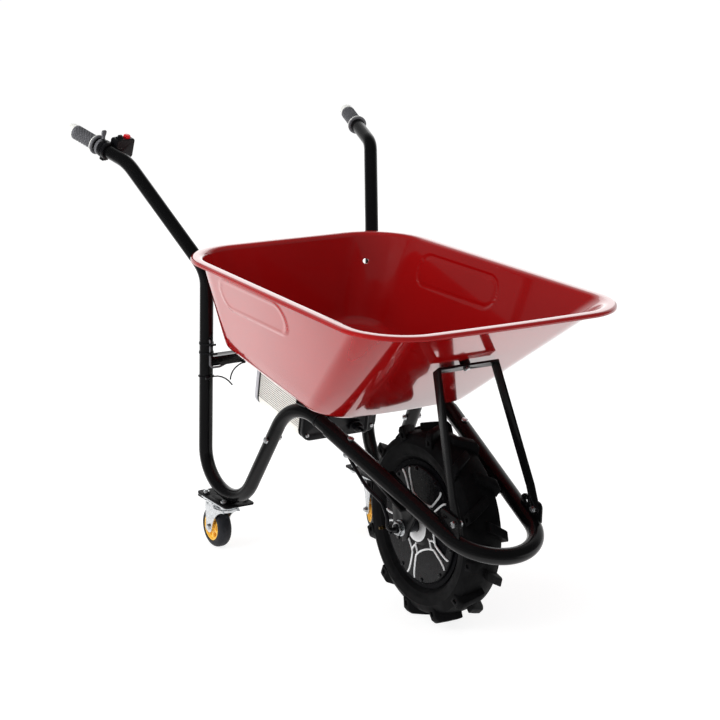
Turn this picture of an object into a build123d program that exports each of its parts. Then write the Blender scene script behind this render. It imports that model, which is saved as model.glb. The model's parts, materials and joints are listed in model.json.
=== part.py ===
import math
import os

from build123d import *

os.makedirs("parts", exist_ok=True)

# Wheel axle; other stations along the ground are measured from it
axle_z = 216.0
loop_reach = 308.0

# Shared fits
fit_gap = 0.05
bolt_gap = 0.2
running_gap = 0.05
moving_gap = 0.5

# Frame tubes
rear_tube_d = 32.0
rear_tube_wall = 2.0
front_tube_d = 36.0
sleeve_gap = 0.2
front_tube_bore = rear_tube_d + 2 * sleeve_gap
leg_run = 625.0
leg_half = 225.0
axle_half = 133.0
leg_top_z = 662.0
leg_top_bend = 80.0
foot_bend = 94.0
rise_angle = 60.0
knee_z = 442.0
knee_bend = 115.0
axle_tube_z = 334.0
sleeve_run = 447.0
sleeve_overlap = 100.0

# Handles
handle_run = 813.0
handle_half = 333.0
handle_z = 894.0
handle_bend = 70.0
handle_rise = 14.0
handle_splay = 14.0
grip_start = 107.0
grip_end = 206.0
end_cap_r = 15.0
end_cap_t = 4.0
end_cap_taper = 20.0

# Castors
castor_height = 130.0
castor_plate_t = 4.0
castor_wheel_d = 100.0
castor_wheel_w = 34.0
castor_trail = 40.0
castor_run = 563.0
castor_half = 205.0
foot_plate_t = 4.0
right_heading = 0.0
left_heading = 160.0

# Tray
rim_z = 716.0
rim_rear = 659.0
rim_front = 258.0
rim_rear_half = 307.0
rim_front_half = 332.0
rim_rear_r = 150.0
rim_front_r = 133.0
rim_bow = 8.5
lip_width = 25.0
skirt = 9.0
sheet = 2.0
floor_front = 143.0
floor_rear = 612.0
floor_front_half = 203.0
floor_rear_half = 211.0
floor_front_z = 428.0
floor_rear_z = 500.0
floor_corner = 75.0
floor_bow = 10.0
floor_fillet = 26.0
stamp_run = 332.0
stamp_z = 650.5
stamp_length = 308.0
stamp_height = 80.0
stamp_relief = 1.5
wall_hole_d = 13.0
wall_hole_half = 200.0
wall_hole_z = 648.0

# Hub motor wheel
tyre_r = 216.0
tyre_half = 46.0
lug_height = 14.0
lug_count = 24
bead_r = 136.0
flange_r = 141.0
rim_half = 35.0
drum_bore_r = 118.0
cover_r = 130.0
boss_face = 48.0
boss_r = 38.0
axle_d = 20.0
axle_collar_d = 27.0
axle_flat = 14.0
axle_half_length = 103.0
bearing_d = 47.0
bearing_w = 14.0
bearing_in = 28.0
dropout_in = 82.0
dropout_t = 6.0

# Battery box, tilted like the tray floor
box_front = 398.0
box_front_z = 297.0
box_length = 228.0
box_width = 198.0
box_height = 142.0
box_corner = 25.0
cap_t = 14.0
gasket_t = 8.0
case_wall = 4.0

# Front strut
strut_w = 25.0
strut_t = 5.0
strut_top_z = 597.0
strut_top_half = 74.0
strut_standoff = 10.0
strut_boss_r = 11.0
strut_foot_run = 224.0
strut_foot_z = 297.5
strut_foot_half = 102.0

# The axle stands where the frame's origin is midway between the loop and the grip ends
handle_ahead = math.cos(math.radians(handle_rise)) * math.cos(math.radians(handle_splay))
end_cap_tip_r = end_cap_r - end_cap_t * math.tan(math.radians(end_cap_taper))
grip_reach = (grip_end + end_cap_t) * handle_ahead + end_cap_tip_r * math.sqrt(1 - handle_ahead**2)
axle_x = (handle_run + grip_reach - loop_reach) / 2

# Values that follow from the ones above
leg_x = axle_x - leg_run
toe = math.atan2(leg_half - axle_half, leg_run)
rise = math.radians(rise_angle)
foot_z = castor_height + foot_plate_t + rear_tube_d / 2
foot_corner_z = foot_z + foot_bend * (1 - math.tan((math.pi / 2 + rise) / 2))
knee_run = (knee_z - foot_corner_z) / math.tan(rise)
axle_side_run = leg_run / math.cos(toe)
fall = (knee_z - axle_tube_z) / (axle_side_run - knee_run)
fall_x = fall / math.cos(toe)
fall_angle = math.atan(fall)
floor_tilt = math.atan2(floor_rear_z - floor_front_z, floor_rear - floor_front)
floor_length = (floor_rear - floor_front) / math.cos(floor_tilt)
tilt_x = math.sin(floor_tilt)
tilt_z = math.cos(floor_tilt)
floor_plane = Plane(
    origin=(axle_x - floor_front, 0, floor_front_z),
    x_dir=(tilt_z, 0, -tilt_x),
    z_dir=(tilt_x, 0, tilt_z),
)
box_plane = Plane(
    origin=(axle_x - box_front, 0, box_front_z),
    x_dir=(0, -1, 0),
    z_dir=(-tilt_z, 0, tilt_x),
)
wheel_plane = Plane(origin=(axle_x, 0, axle_z), x_dir=(1, 0, 0), z_dir=(0, 0, 1))
wheel_axis = Axis((axle_x, 0, axle_z), (0, 1, 0))
sides = (("right", -1), ("left", 1))


def side_point(side, run, height):
    """A point of one side frame, by its run forward of the leg and its height."""
    return Vector(leg_x + run * math.cos(toe), side * (leg_half - run * math.sin(toe)), height)


def fall_point(side, run):
    """A point on the centre line of the tube that falls forward from the knee."""
    return side_point(side, run, knee_z - fall * (run - knee_run))


def fall_run(x):
    """The run of the falling tube at a distance forward of the axle."""
    return (leg_run + x) / math.cos(toe)


def tube_z(x):
    """Height of the falling tube's centre line at a distance forward of the axle."""
    return axle_tube_z - fall_x * x


def handle_direction(side):
    """Unit vector along a handle towards its end."""
    up = math.sin(math.radians(handle_rise))
    flat = math.cos(math.radians(handle_rise))
    splay = math.radians(handle_splay)
    return Vector(-flat * math.cos(splay), side * flat * math.sin(splay), up)


def handle_point(side, along=0.0):
    """A point on a handle's centre line, measured from the corner of its bend."""
    return Vector(axle_x - handle_run, side * handle_half, handle_z) + handle_direction(side) * along


def handle_plane(side, along=0.0):
    """Plane across a handle, its Y direction up and its Z direction towards the end."""
    ahead = handle_direction(side)
    return Plane(origin=handle_point(side, along), x_dir=Vector(0, 0, 1).cross(ahead), z_dir=ahead)


def y_plane(x, y, z, side):
    """Vertical plane facing outward on one side, its X direction forward and Y direction up."""
    if side < 0:
        return Plane(origin=(x, y, z), x_dir=(1, 0, 0), z_dir=(0, -1, 0))
    return Plane(origin=(x, y, z), x_dir=(-1, 0, 0), z_dir=(0, 1, 0))


def bolt(origin, direction, size, grip, proud=3.0, dome=False):
    """A bolt through a grip length with its nut; origin is under the head, direction into the work."""
    plane = Plane(origin=origin, z_dir=direction)
    with BuildPart() as fastener:
        with BuildSketch(plane):
            Circle(size / 2)
        extrude(amount=grip + 0.8 * size + proud)
        with BuildSketch(plane):
            if dome:
                Circle(size)
            else:
                RegularPolygon(0.82 * size, 6, major_radius=False)
        extrude(amount=-0.6 * size)
        if dome:
            fillet(fastener.faces().sort_by(Axis(plane.origin, plane.z_dir))[0].edges(), 0.4 * size)
        with BuildSketch(plane.offset(grip)):
            RegularPolygon(0.82 * size, 6, major_radius=False)
            Circle(size / 2 + fit_gap, mode=Mode.SUBTRACT)
        extrude(amount=0.8 * size)
    return fastener.part


def screw(origin, direction, size, length):
    """A button-head screw; origin is under the head, direction into the work."""
    plane = Plane(origin=origin, z_dir=direction)
    with BuildPart() as fastener:
        with BuildSketch(plane):
            Circle(size / 2)
        extrude(amount=length)
        with BuildSketch(plane):
            Circle(0.9 * size)
        extrude(amount=-0.55 * size)
        fillet(fastener.faces().sort_by(Axis(plane.origin, plane.z_dir))[0].edges(), 0.3 * size)
        with BuildSketch(plane.offset(-0.55 * size)):
            RegularPolygon(0.3 * size, 6, major_radius=False)
        extrude(amount=0.3 * size, mode=Mode.SUBTRACT)
    return fastener.part


def tray_outline(plane, rear, front, rear_half, front_half, rear_r, front_r, bow):
    """A rounded four-sided outline whose front side bows outward."""
    with BuildSketch(plane) as face:
        with BuildLine():
            Line((rear, rear_half), (rear, -rear_half))
            Line((rear, -rear_half), (front, -front_half))
            ThreePointArc((front, -front_half), (front + bow, 0), (front, front_half))
            Line((front, front_half), (rear, rear_half))
        make_face()
        fillet(face.vertices().filter_by(lambda v: v.X < (rear + front) / 2), rear_r)
        fillet(face.vertices().filter_by(lambda v: abs(abs(v.Y) - front_half) < 0.1), front_r)
    return face.sketch


def tray_hollow(inset, bulge):
    """The solid between the tray floor and its opening, inset by the sheet and bulged at the sides."""
    edge = lip_width + inset
    opening = tray_outline(
        Plane.XY.offset(rim_z),
        axle_x - rim_rear + edge,
        axle_x + rim_front - edge - 0.6 * inset,
        rim_rear_half - edge + bulge,
        rim_front_half - edge + bulge,
        rim_rear_r - edge,
        rim_front_r - edge,
        rim_bow,
    )
    base = tray_outline(
        floor_plane.offset(inset),
        0.6 * inset - floor_length,
        -0.4 * inset,
        floor_rear_half - 0.7 * inset + bulge,
        floor_front_half - 0.7 * inset + bulge,
        floor_corner,
        floor_corner,
        floor_bow,
    )
    with BuildPart() as body:
        loft(sections=[base, opening], ruled=True)
        fillet(body.faces().sort_by(Axis.Z)[0].edges(), floor_fillet - inset)
    return body.part


def stamped_panel(inset):
    """The part of the bulged tray inside the long rounded panels of both side walls."""
    with BuildPart() as panel:
        add(tray_hollow(inset, stamp_relief))
        with BuildSketch(y_plane(axle_x - stamp_run, 0, stamp_z, -1)):
            SlotOverall(stamp_length - 2 * inset, stamp_height - 2 * inset)
        extrude(amount=rim_front_half, both=True, mode=Mode.INTERSECT)
    return panel.part


# Front wall of the tray at its middle, where the strut is bolted
wall_low = floor_plane.from_local_coords(Vector(floor_bow, 0, 0))
wall_high = Vector(axle_x + rim_front - lip_width + rim_bow, 0, rim_z)
wall_up = (wall_high - wall_low).normalized()
wall_out = Vector(wall_up.Z, 0, -wall_up.X)
strut_top = wall_low + wall_up * ((strut_top_z - wall_low.Z) / wall_up.Z)

# Where the tray is bolted to its two bearers
bearer_run = 260.0
bearer_half = 110.0
bearer_depth = 40.0
floor_bolt_rear = 555.0
floor_bolt_half = 105.0
floor_bolt = 8.0


def floor_height(run):
    """Height of the underside of the tray floor at a run behind the axle."""
    return floor_front_z + (run - floor_front) * math.tan(floor_tilt)


floor_bolts = []
for bolt_run, bolt_half in ((bearer_run, bearer_half), (floor_bolt_rear, floor_bolt_half)):
    for side_name, side in sides:
        floor_bolts.append(Vector(axle_x - bolt_run, side * bolt_half, floor_height(bolt_run)))
floor_up = Vector(tilt_x, 0, tilt_z)

with BuildPart() as tray:
    add(tray_hollow(0, 0))
    add(stamped_panel(0))
    with BuildSketch(Plane.XY.offset(rim_z - sheet)):
        add(
            tray_outline(
                Plane.XY,
                axle_x - rim_rear,
                axle_x + rim_front,
                rim_rear_half,
                rim_front_half,
                rim_rear_r,
                rim_front_r,
                rim_bow,
            )
        )
    extrude(amount=sheet)
    with BuildSketch(Plane.XY.offset(rim_z - skirt)):
        rim_face = tray_outline(
            Plane.XY,
            axle_x - rim_rear,
            axle_x + rim_front,
            rim_rear_half,
            rim_front_half,
            rim_rear_r,
            rim_front_r,
            rim_bow,
        )
        add(rim_face)
        offset(rim_face, amount=-sheet, mode=Mode.SUBTRACT)
    extrude(amount=skirt - sheet)
    add(tray_hollow(sheet, 0), mode=Mode.SUBTRACT)
    add(stamped_panel(sheet), mode=Mode.SUBTRACT)
    for side_name, side in sides:
        hole_spot = (axle_x - rim_rear, side * wall_hole_half, wall_hole_z)
        with BuildSketch(Plane(origin=hole_spot, z_dir=(1, 0, 0))):
            Circle(wall_hole_d / 2)
        extrude(amount=2 * lip_width + skirt, mode=Mode.SUBTRACT)
    for spot in floor_bolts:
        with BuildSketch(Plane(origin=spot, z_dir=floor_up)):
            Circle(floor_bolt / 2 + bolt_gap)
        extrude(amount=2 * sheet, both=True, mode=Mode.SUBTRACT)
    with BuildSketch(Plane(origin=strut_top, z_dir=wall_out)):
        Circle(floor_bolt / 2 + bolt_gap)
    extrude(amount=2 * sheet, both=True, mode=Mode.SUBTRACT)
tray.part.label = "tray"
export_step(tray.part, "parts/tray.step")

# Frame joints shared by the tubes and their bolts
joint_bolt = 8.0
joint_bolt_run = sleeve_run + 66.0
side_bolt = 8.0
side_bolt_z = 325.0
side_bolt_run = (side_bolt_z - foot_corner_z) / math.tan(rise)
control_cable_d = 5.0
control_hole_z = 505.0


def tube_up(side):
    """Unit vector square to the falling tube, upward in its side frame."""
    ahead = (fall_point(side, axle_side_run) - fall_point(side, knee_run)).normalized()
    return (Vector(0, 0, 1) - ahead * ahead.Z).normalized()


def side_out(side):
    """Unit vector square to a side frame, pointing outward."""
    return Vector(math.sin(toe), side * math.cos(toe), 0)


for side_name, side in sides:
    with BuildPart() as handle_tube:
        with BuildLine() as route:
            FilletPolyline(
                handle_point(side, grip_end - 4),
                handle_point(side),
                side_point(side, 0, leg_top_z),
                side_point(side, 0, foot_corner_z),
                side_point(side, knee_run, knee_z),
                fall_point(side, sleeve_run + sleeve_overlap),
                radius=(handle_bend, leg_top_bend, foot_bend, knee_bend),
            )
        with BuildSketch(Plane(origin=route.line @ 0, z_dir=route.line % 0)):
            Circle(rear_tube_d / 2)
            Circle(rear_tube_d / 2 - rear_tube_wall, mode=Mode.SUBTRACT)
        sweep()
        with BuildSketch(Plane(origin=fall_point(side, joint_bolt_run), z_dir=tube_up(side))):
            Circle(joint_bolt / 2 + bolt_gap)
        extrude(amount=rear_tube_d, both=True, mode=Mode.SUBTRACT)
        bolt_spot = side_point(side, side_bolt_run, side_bolt_z)
        with BuildSketch(Plane(origin=bolt_spot, z_dir=side_out(side))):
            Circle(side_bolt / 2 + bolt_gap)
        extrude(amount=rear_tube_d, both=True, mode=Mode.SUBTRACT)
        if side < 0:
            slot_middle = side_point(side, 0, control_hole_z - 2)
            with BuildSketch(Plane(origin=slot_middle, x_dir=(0, 0, 1), z_dir=(1, 0, 0))):
                SlotOverall(control_cable_d + 8, control_cable_d + 1)
            extrude(amount=rear_tube_d, mode=Mode.SUBTRACT)
    handle_tube.part.label = f"{side_name}_handle_tube"
    export_step(handle_tube.part, f"parts/{side_name}_handle_tube.step")

loop_apex_run = leg_half / math.sin(toe)
loop_apex = fall_point(1, loop_apex_run)
loop_ahead = Vector(1, 0, -fall_x).normalized()
loop_half_angle = math.asin(math.sin(toe) / math.hypot(1, fall))
loop_front_x = axle_x + loop_reach - front_tube_d / 2
loop_r = (loop_apex.X - loop_front_x) / loop_ahead.X / (1 / math.sin(loop_half_angle) - 1)

with BuildPart() as front_loop_tube:
    with BuildLine() as route:
        FilletPolyline(fall_point(-1, sleeve_run), loop_apex, fall_point(1, sleeve_run), radius=loop_r)
    with BuildSketch(Plane(origin=route.line @ 0, z_dir=route.line % 0)):
        Circle(front_tube_d / 2)
        Circle(front_tube_bore / 2, mode=Mode.SUBTRACT)
    sweep()
    for side_name, side in sides:
        with BuildSketch(Plane(origin=fall_point(side, joint_bolt_run), z_dir=tube_up(side))):
            Circle(joint_bolt / 2 + bolt_gap)
        extrude(amount=front_tube_d, both=True, mode=Mode.SUBTRACT)
front_loop_tube.part.label = "front_loop_tube"
export_step(front_loop_tube.part, "parts/front_loop_tube.step")

with BuildPart() as frame_bolts:
    for side_name, side in sides:
        top = fall_point(side, joint_bolt_run) + tube_up(side) * (front_tube_d / 2)
        add(bolt(top, -tube_up(side), joint_bolt, front_tube_d))
        outer = side_point(side, side_bolt_run, side_bolt_z) + side_out(side) * (rear_tube_d / 2)
        add(bolt(outer, -side_out(side), side_bolt, rear_tube_d))
frame_bolts.part.label = "frame_bolts"
export_step(frame_bolts.part, "parts/frame_bolts.step")

# Bearers that carry the tray and the battery box
member_z = 452.0
member_h = 22.0
member_d = 30.0
member_wall = 3.0
tab_w = 44.0
tab_t = 4.0
hanger_t = 4.0
hanger_w = 120.0
knee_setback = math.tan((rise + fall_angle) / 2)
knee_top_z = knee_z - knee_bend * (knee_setback * math.sin(rise) + math.cos(rise) - 1)
knee_top_z += rear_tube_d / 2
bearer_x = axle_x - bearer_run

with BuildPart() as rear_cross_member:
    with BuildSketch(Plane(origin=(leg_x, 0, member_z), x_dir=(1, 0, 0), z_dir=(0, -1, 0))):
        Rectangle(member_d, member_h)
        with Locations((0, -member_wall)):
            Rectangle(member_d - 2 * member_wall, member_h, mode=Mode.SUBTRACT)
    extrude(amount=leg_half, both=True)
    for side_name, side in sides:
        spot = Vector(axle_x - floor_bolt_rear, side * floor_bolt_half, floor_height(floor_bolt_rear))
        with BuildSketch(Plane(origin=(0, spot.Y, 0), x_dir=(1, 0, 0), z_dir=(0, -1, 0))):
            with BuildLine():
                Polyline(
                    (leg_x + member_d / 2 - tab_t, member_z + member_h / 2),
                    (leg_x + member_d / 2, member_z + member_h / 2),
                    (leg_x + member_d / 2, floor_height(axle_x - leg_x - member_d / 2) - tab_t),
                    (spot.X + tab_w / 2, floor_height(floor_bolt_rear - tab_w / 2) - tab_t),
                    (spot.X + tab_w / 2, floor_height(floor_bolt_rear - tab_w / 2)),
                    (leg_x + member_d / 2 - tab_t, floor_height(axle_x - leg_x - member_d / 2 + tab_t)),
                    close=True,
                )
            make_face()
        extrude(amount=tab_w / 2, both=True)
        with BuildSketch(Plane(origin=spot, z_dir=floor_up)):
            Circle(floor_bolt / 2 + bolt_gap)
        extrude(amount=4 * tab_t, both=True, mode=Mode.SUBTRACT)
        with BuildSketch(Plane(origin=side_point(side, 0, member_z))):
            Circle(rear_tube_d / 2)
        extrude(amount=member_h, both=True, mode=Mode.SUBTRACT)
rear_cross_member.part.label = "rear_cross_member"
export_step(rear_cross_member.part, "parts/rear_cross_member.step")

with BuildPart() as front_cross_bar:
    with BuildSketch(Plane(origin=(0, 0, 0), x_dir=(1, 0, 0), z_dir=(0, -1, 0))):
        with BuildLine():
            Polyline(
                (bearer_x - bearer_depth / 2, knee_top_z),
                (bearer_x + bearer_depth / 2, knee_top_z),
                (bearer_x + bearer_depth / 2, floor_height(bearer_run - bearer_depth / 2)),
                (bearer_x - bearer_depth / 2, floor_height(bearer_run + bearer_depth / 2)),
                close=True,
            )
        make_face()
        offset(amount=-member_wall, mode=Mode.SUBTRACT)
    extrude(amount=side_point(1, fall_run(-bearer_run), 0).Y + rear_tube_d / 2, both=True)
    for side_name, side in sides:
        hole_spot = (bearer_x, side * bearer_half, floor_height(bearer_run))
        with BuildSketch(Plane(origin=hole_spot, z_dir=floor_up)):
            Circle(floor_bolt / 2 + bolt_gap)
        extrude(amount=2 * bearer_depth, both=True, mode=Mode.SUBTRACT)
front_cross_bar.part.label = "front_cross_bar"
export_step(front_cross_bar.part, "parts/front_cross_bar.step")

# Battery box
case_start = cap_t + gasket_t
case_end = box_length - cap_t - gasket_t
cap_screw = 5.0
cap_screw_x = box_width / 2 - 12
cap_screw_low = 16.0
cap_screw_high = box_height - 12
screw_boss_r = 9.0
fin_count = 20
fin_pitch = 5.0
fin_depth = 1.6
fin_slot = 2.2
socket_x = -41.0
socket_y = 24.0
gland_x = 40.0
gland_y = 60.0
cap_screws_at = []
for screw_x in (-cap_screw_x, cap_screw_x):
    for screw_y in (cap_screw_low, cap_screw_high):
        cap_screws_at.append((screw_x, screw_y))


def box_section(plane, inset):
    """Outline of the battery box across its length, with large lower corners."""
    with BuildSketch(plane) as face:
        with Locations((0, box_height / 2)):
            Rectangle(box_width - 2 * inset, box_height - 2 * inset)
        fillet(face.vertices().group_by(Axis.Y)[0], box_corner - inset)
        fillet(face.vertices().group_by(Axis.Y)[-1], 8 - inset)
    return face.sketch


with BuildPart() as battery_case:
    with BuildSketch(box_plane.offset(case_start)):
        add(box_section(Plane.XY, 0))
        add(box_section(Plane.XY, case_wall), mode=Mode.SUBTRACT)
        with Locations(*cap_screws_at):
            Circle(screw_boss_r)
        with Locations(*cap_screws_at):
            Circle(cap_screw / 2 + bolt_gap, mode=Mode.SUBTRACT)
        with Locations((0, box_height / 2 + 6)):
            with GridLocations(box_width, fin_pitch, 2, fin_count):
                Rectangle(2 * fin_depth, fin_slot, mode=Mode.SUBTRACT)
    extrude(amount=case_end - case_start)
battery_case.part.label = "battery_case"
export_step(battery_case.part, "parts/battery_case.step")

with BuildPart() as battery_gaskets:
    for start in (cap_t, case_end):
        with BuildSketch(box_plane.offset(start)):
            add(box_section(Plane.XY, 1.0))
            add(box_section(Plane.XY, case_wall), mode=Mode.SUBTRACT)
            with Locations(*cap_screws_at):
                Circle(screw_boss_r)
            with Locations(*cap_screws_at):
                Circle(cap_screw / 2 + bolt_gap, mode=Mode.SUBTRACT)
        extrude(amount=gasket_t)
battery_gaskets.part.label = "battery_gaskets"
export_step(battery_gaskets.part, "parts/battery_gaskets.step")

with BuildPart() as battery_front_cap:
    with BuildSketch(box_plane):
        add(box_section(Plane.XY, 0))
    extrude(amount=cap_t)
    front_edges = battery_front_cap.faces().sort_by(Axis.X)[-1].edges()
    fillet(front_edges, 4)
    with BuildSketch(box_plane):
        with Locations(*cap_screws_at):
            Circle(cap_screw / 2 + bolt_gap)
        with Locations((socket_x, socket_y)):
            SlotOverall(26, 17)
    extrude(amount=cap_t, mode=Mode.SUBTRACT)
battery_front_cap.part.label = "battery_front_cap"
export_step(battery_front_cap.part, "parts/battery_front_cap.step")

with BuildPart() as battery_rear_cap:
    with BuildSketch(box_plane.offset(box_length - cap_t)):
        add(box_section(Plane.XY, 0))
    extrude(amount=cap_t)
    fillet(battery_rear_cap.faces().sort_by(Axis.X)[0].edges(), 4)
    with BuildSketch(box_plane.offset(box_length - cap_t)):
        with Locations(*cap_screws_at):
            Circle(cap_screw / 2 + bolt_gap)
    extrude(amount=cap_t, mode=Mode.SUBTRACT)
battery_rear_cap.part.label = "battery_rear_cap"
export_step(battery_rear_cap.part, "parts/battery_rear_cap.step")

with BuildPart() as battery_cap_screws:
    for screw_x, screw_y in cap_screws_at:
        front_spot = box_plane.from_local_coords(Vector(screw_x, screw_y, 0))
        rear_spot = box_plane.from_local_coords(Vector(screw_x, screw_y, box_length))
        add(screw(front_spot, box_plane.z_dir, cap_screw, cap_t + 20))
        add(screw(rear_spot, -box_plane.z_dir, cap_screw, cap_t + 20))
battery_cap_screws.part.label = "battery_cap_screws"
export_step(battery_cap_screws.part, "parts/battery_cap_screws.step")

cell_w = 2 * (cap_screw_x - screw_boss_r) - 2
cell_h = 92.0
cell_length = 150.0
controller_h = 24.0
with BuildPart() as cell_pack:
    with BuildSketch(box_plane.offset(case_start + 30)):
        with Locations((0, case_wall)):
            Rectangle(cell_w, cell_h, align=(Align.CENTER, Align.MIN))
    extrude(amount=cell_length)
    fillet(cell_pack.edges().filter_by(Axis(box_plane.origin, box_plane.z_dir)), 4)
cell_pack.part.label = "cell_pack"
export_step(cell_pack.part, "parts/cell_pack.step")

with BuildPart() as motor_controller:
    with BuildSketch(box_plane.offset(case_start + 45)):
        with Locations((0, case_wall + cell_h)):
            Rectangle(90, controller_h, align=(Align.CENTER, Align.MIN))
        with Locations((0, case_wall + cell_h + controller_h)):
            with GridLocations(9, 1, 9, 1):
                Rectangle(4, 8, mode=Mode.SUBTRACT)
    extrude(amount=110)
motor_controller.part.label = "motor_controller"
export_step(motor_controller.part, "parts/motor_controller.step")

with BuildPart() as power_connector:
    with BuildSketch(box_plane):
        with Locations((socket_x, socket_y)):
            SlotOverall(26 - 2 * bolt_gap, 17 - 2 * bolt_gap)
    extrude(amount=cap_t)
    with BuildSketch(box_plane):
        with Locations((socket_x, socket_y)):
            SlotOverall(34, 24)
    extrude(amount=-6)
    with BuildSketch(box_plane.offset(-6)):
        with Locations((socket_x, socket_y)):
            SlotOverall(24, 17)
    extrude(amount=-16)
    fillet(power_connector.faces().sort_by(Axis.X)[-1].edges(), 3)
power_connector.part.label = "power_connector"
export_step(power_connector.part, "parts/power_connector.step")

with BuildPart() as battery_hangers:
    with BuildSketch(Plane(origin=(0, 0, 0), x_dir=(1, 0, 0), z_dir=(0, -1, 0))):
        box_top = box_plane.from_local_coords(Vector(0, box_height, 0))
        front_top = Vector(bearer_x - bearer_depth / 2, 0, 0)
        lift = (box_top.X - front_top.X) * math.tan(floor_tilt)
        back_top = box_plane.from_local_coords(Vector(0, box_height, 60))
        with BuildLine():
            Polyline(
                (front_top.X, box_top.Z + lift),
                (front_top.X, box_top.Z + lift + hanger_t),
                (back_top.X, back_top.Z + hanger_t),
                (back_top.X, back_top.Z),
                close=True,
            )
        make_face()
        rear_top = box_plane.from_local_coords(Vector(0, box_height, box_length - 50))
        heel_x = leg_x + 2
        heel_z = rear_top.Z + (rear_top.X - heel_x) * math.tan(floor_tilt)
        with BuildLine():
            Polyline(
                (rear_top.X, rear_top.Z),
                (rear_top.X, rear_top.Z + hanger_t),
                (heel_x - hanger_t, heel_z + hanger_t * (1 + math.tan(floor_tilt))),
                (heel_x - hanger_t, member_z + member_h / 2),
                (heel_x, member_z + member_h / 2),
                (heel_x, heel_z),
                close=True,
            )
        make_face()
    extrude(amount=hanger_w / 2, both=True)
battery_hangers.part.label = "battery_hangers"
export_step(battery_hangers.part, "parts/battery_hangers.step")

# Front strut, bent from flat bar, with the brackets it is bolted to
strut_seat = strut_top + wall_out * strut_standoff
strut_head = strut_seat + wall_out * (strut_t / 2)
strut_foot = Vector(axle_x + strut_foot_run, 0, strut_foot_z)
strut_drop = strut_foot - strut_head
strut_length = strut_drop.length
strut_down = strut_drop.normalized()
strut_plane = Plane(origin=strut_head, x_dir=(0, 1, 0), z_dir=(-strut_down.Z, 0, strut_down.X))
strut_arm_half = strut_foot_half - strut_t / 2
strut_bolt = 8.0
bracket_t = 5.0
bracket_rear = 168.0
bracket_front = 240.0
spare_hole_run = 188.0
spare_hole_z = 304.0
front_tube_slant = math.hypot(1, fall_x) * front_tube_d / 2

with BuildPart() as strut:
    with BuildSketch(Plane(origin=strut_seat, x_dir=(0, 1, 0), z_dir=wall_out)):
        Rectangle(2 * strut_top_half + strut_t, strut_w)
    extrude(amount=strut_t)
    with BuildSketch(Plane(origin=strut_top, z_dir=wall_out)):
        Circle(strut_boss_r)
    extrude(amount=strut_standoff)
    with BuildSketch(strut_plane):
        for side_name, side in sides:
            with BuildLine():
                FilletPolyline(
                    (side * strut_top_half, 0),
                    (side * strut_arm_half, 50 - strut_length),
                    (side * strut_arm_half, -strut_length),
                    radius=40,
                )
            trace(line_width=strut_t)
    extrude(amount=strut_w / 2, both=True)
    for side_name, side in sides:
        foot_face = y_plane(strut_foot.X, side * strut_foot_half, strut_foot.Z, side)
        with BuildSketch(foot_face):
            Circle(strut_w / 2)
        extrude(amount=-strut_t)
        with BuildSketch(foot_face):
            Circle(strut_bolt / 2 + bolt_gap)
        extrude(amount=-2 * strut_t, mode=Mode.SUBTRACT)
    with BuildSketch(Plane(origin=strut_top, z_dir=wall_out)):
        Circle(floor_bolt / 2 + bolt_gap)
    extrude(amount=strut_standoff + 2 * strut_t, mode=Mode.SUBTRACT)
strut.part.label = "strut"
export_step(strut.part, "parts/strut.step")

with BuildPart() as strut_brackets:
    for side_name, side in sides:
        bracket_spot = (axle_x, side * strut_foot_half, 0)
        bracket_plane = Plane(origin=bracket_spot, x_dir=(1, 0, 0), z_dir=(0, -1, 0))
        with BuildSketch(bracket_plane) as bracket_face:
            with BuildLine():
                Polyline(
                    (bracket_rear, tube_z(bracket_rear) + front_tube_slant),
                    (bracket_front, tube_z(bracket_front) + front_tube_slant),
                    (bracket_front, strut_foot_z + 14),
                    (bracket_rear + 4, spare_hole_z + 16),
                    close=True,
                )
            make_face()
            fillet(bracket_face.vertices().sort_by(Axis.Y)[-2:], 13)
            with Locations((strut_foot_run, strut_foot_z), (spare_hole_run, spare_hole_z)):
                Circle(strut_bolt / 2 + bolt_gap, mode=Mode.SUBTRACT)
        extrude(amount=-side * bracket_t)
strut_brackets.part.label = "strut_brackets"
export_step(strut_brackets.part, "parts/strut_brackets.step")

with BuildPart() as strut_bolts:
    for side_name, side in sides:
        spot = Vector(strut_foot.X, side * (strut_foot_half + bracket_t), strut_foot.Z)
        add(bolt(spot, (0, -side, 0), strut_bolt, bracket_t + strut_t))
strut_bolts.part.label = "strut_bolts"
export_step(strut_bolts.part, "parts/strut_bolts.step")

with BuildPart() as tray_bolts:
    for spot in floor_bolts:
        grip = sheet + tab_t
        if spot.X > axle_x - floor_rear + tab_w:
            grip = sheet + (floor_height(bearer_run) - knee_top_z) * tilt_z + 1.4 * floor_bolt * tilt_x
        add(bolt(spot + floor_up * sheet, -floor_up, floor_bolt, grip, dome=True))
    strut_grip = sheet + strut_standoff + strut_t
    add(bolt(strut_seat + wall_out * strut_t, -wall_out, floor_bolt, strut_grip))
tray_bolts.part.label = "tray_bolts"
export_step(tray_bolts.part, "parts/tray_bolts.step")

# Dropouts that hang from the front tube and hold the wheel axle
dropout_rear = 45.0
dropout_front = 75.0
dropout_r = 29.0
flange_reach = axle_half + 7.0
washer_t = 2.0
axle_nut_h = 9.0
axle_nut_r = 14.0

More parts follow.
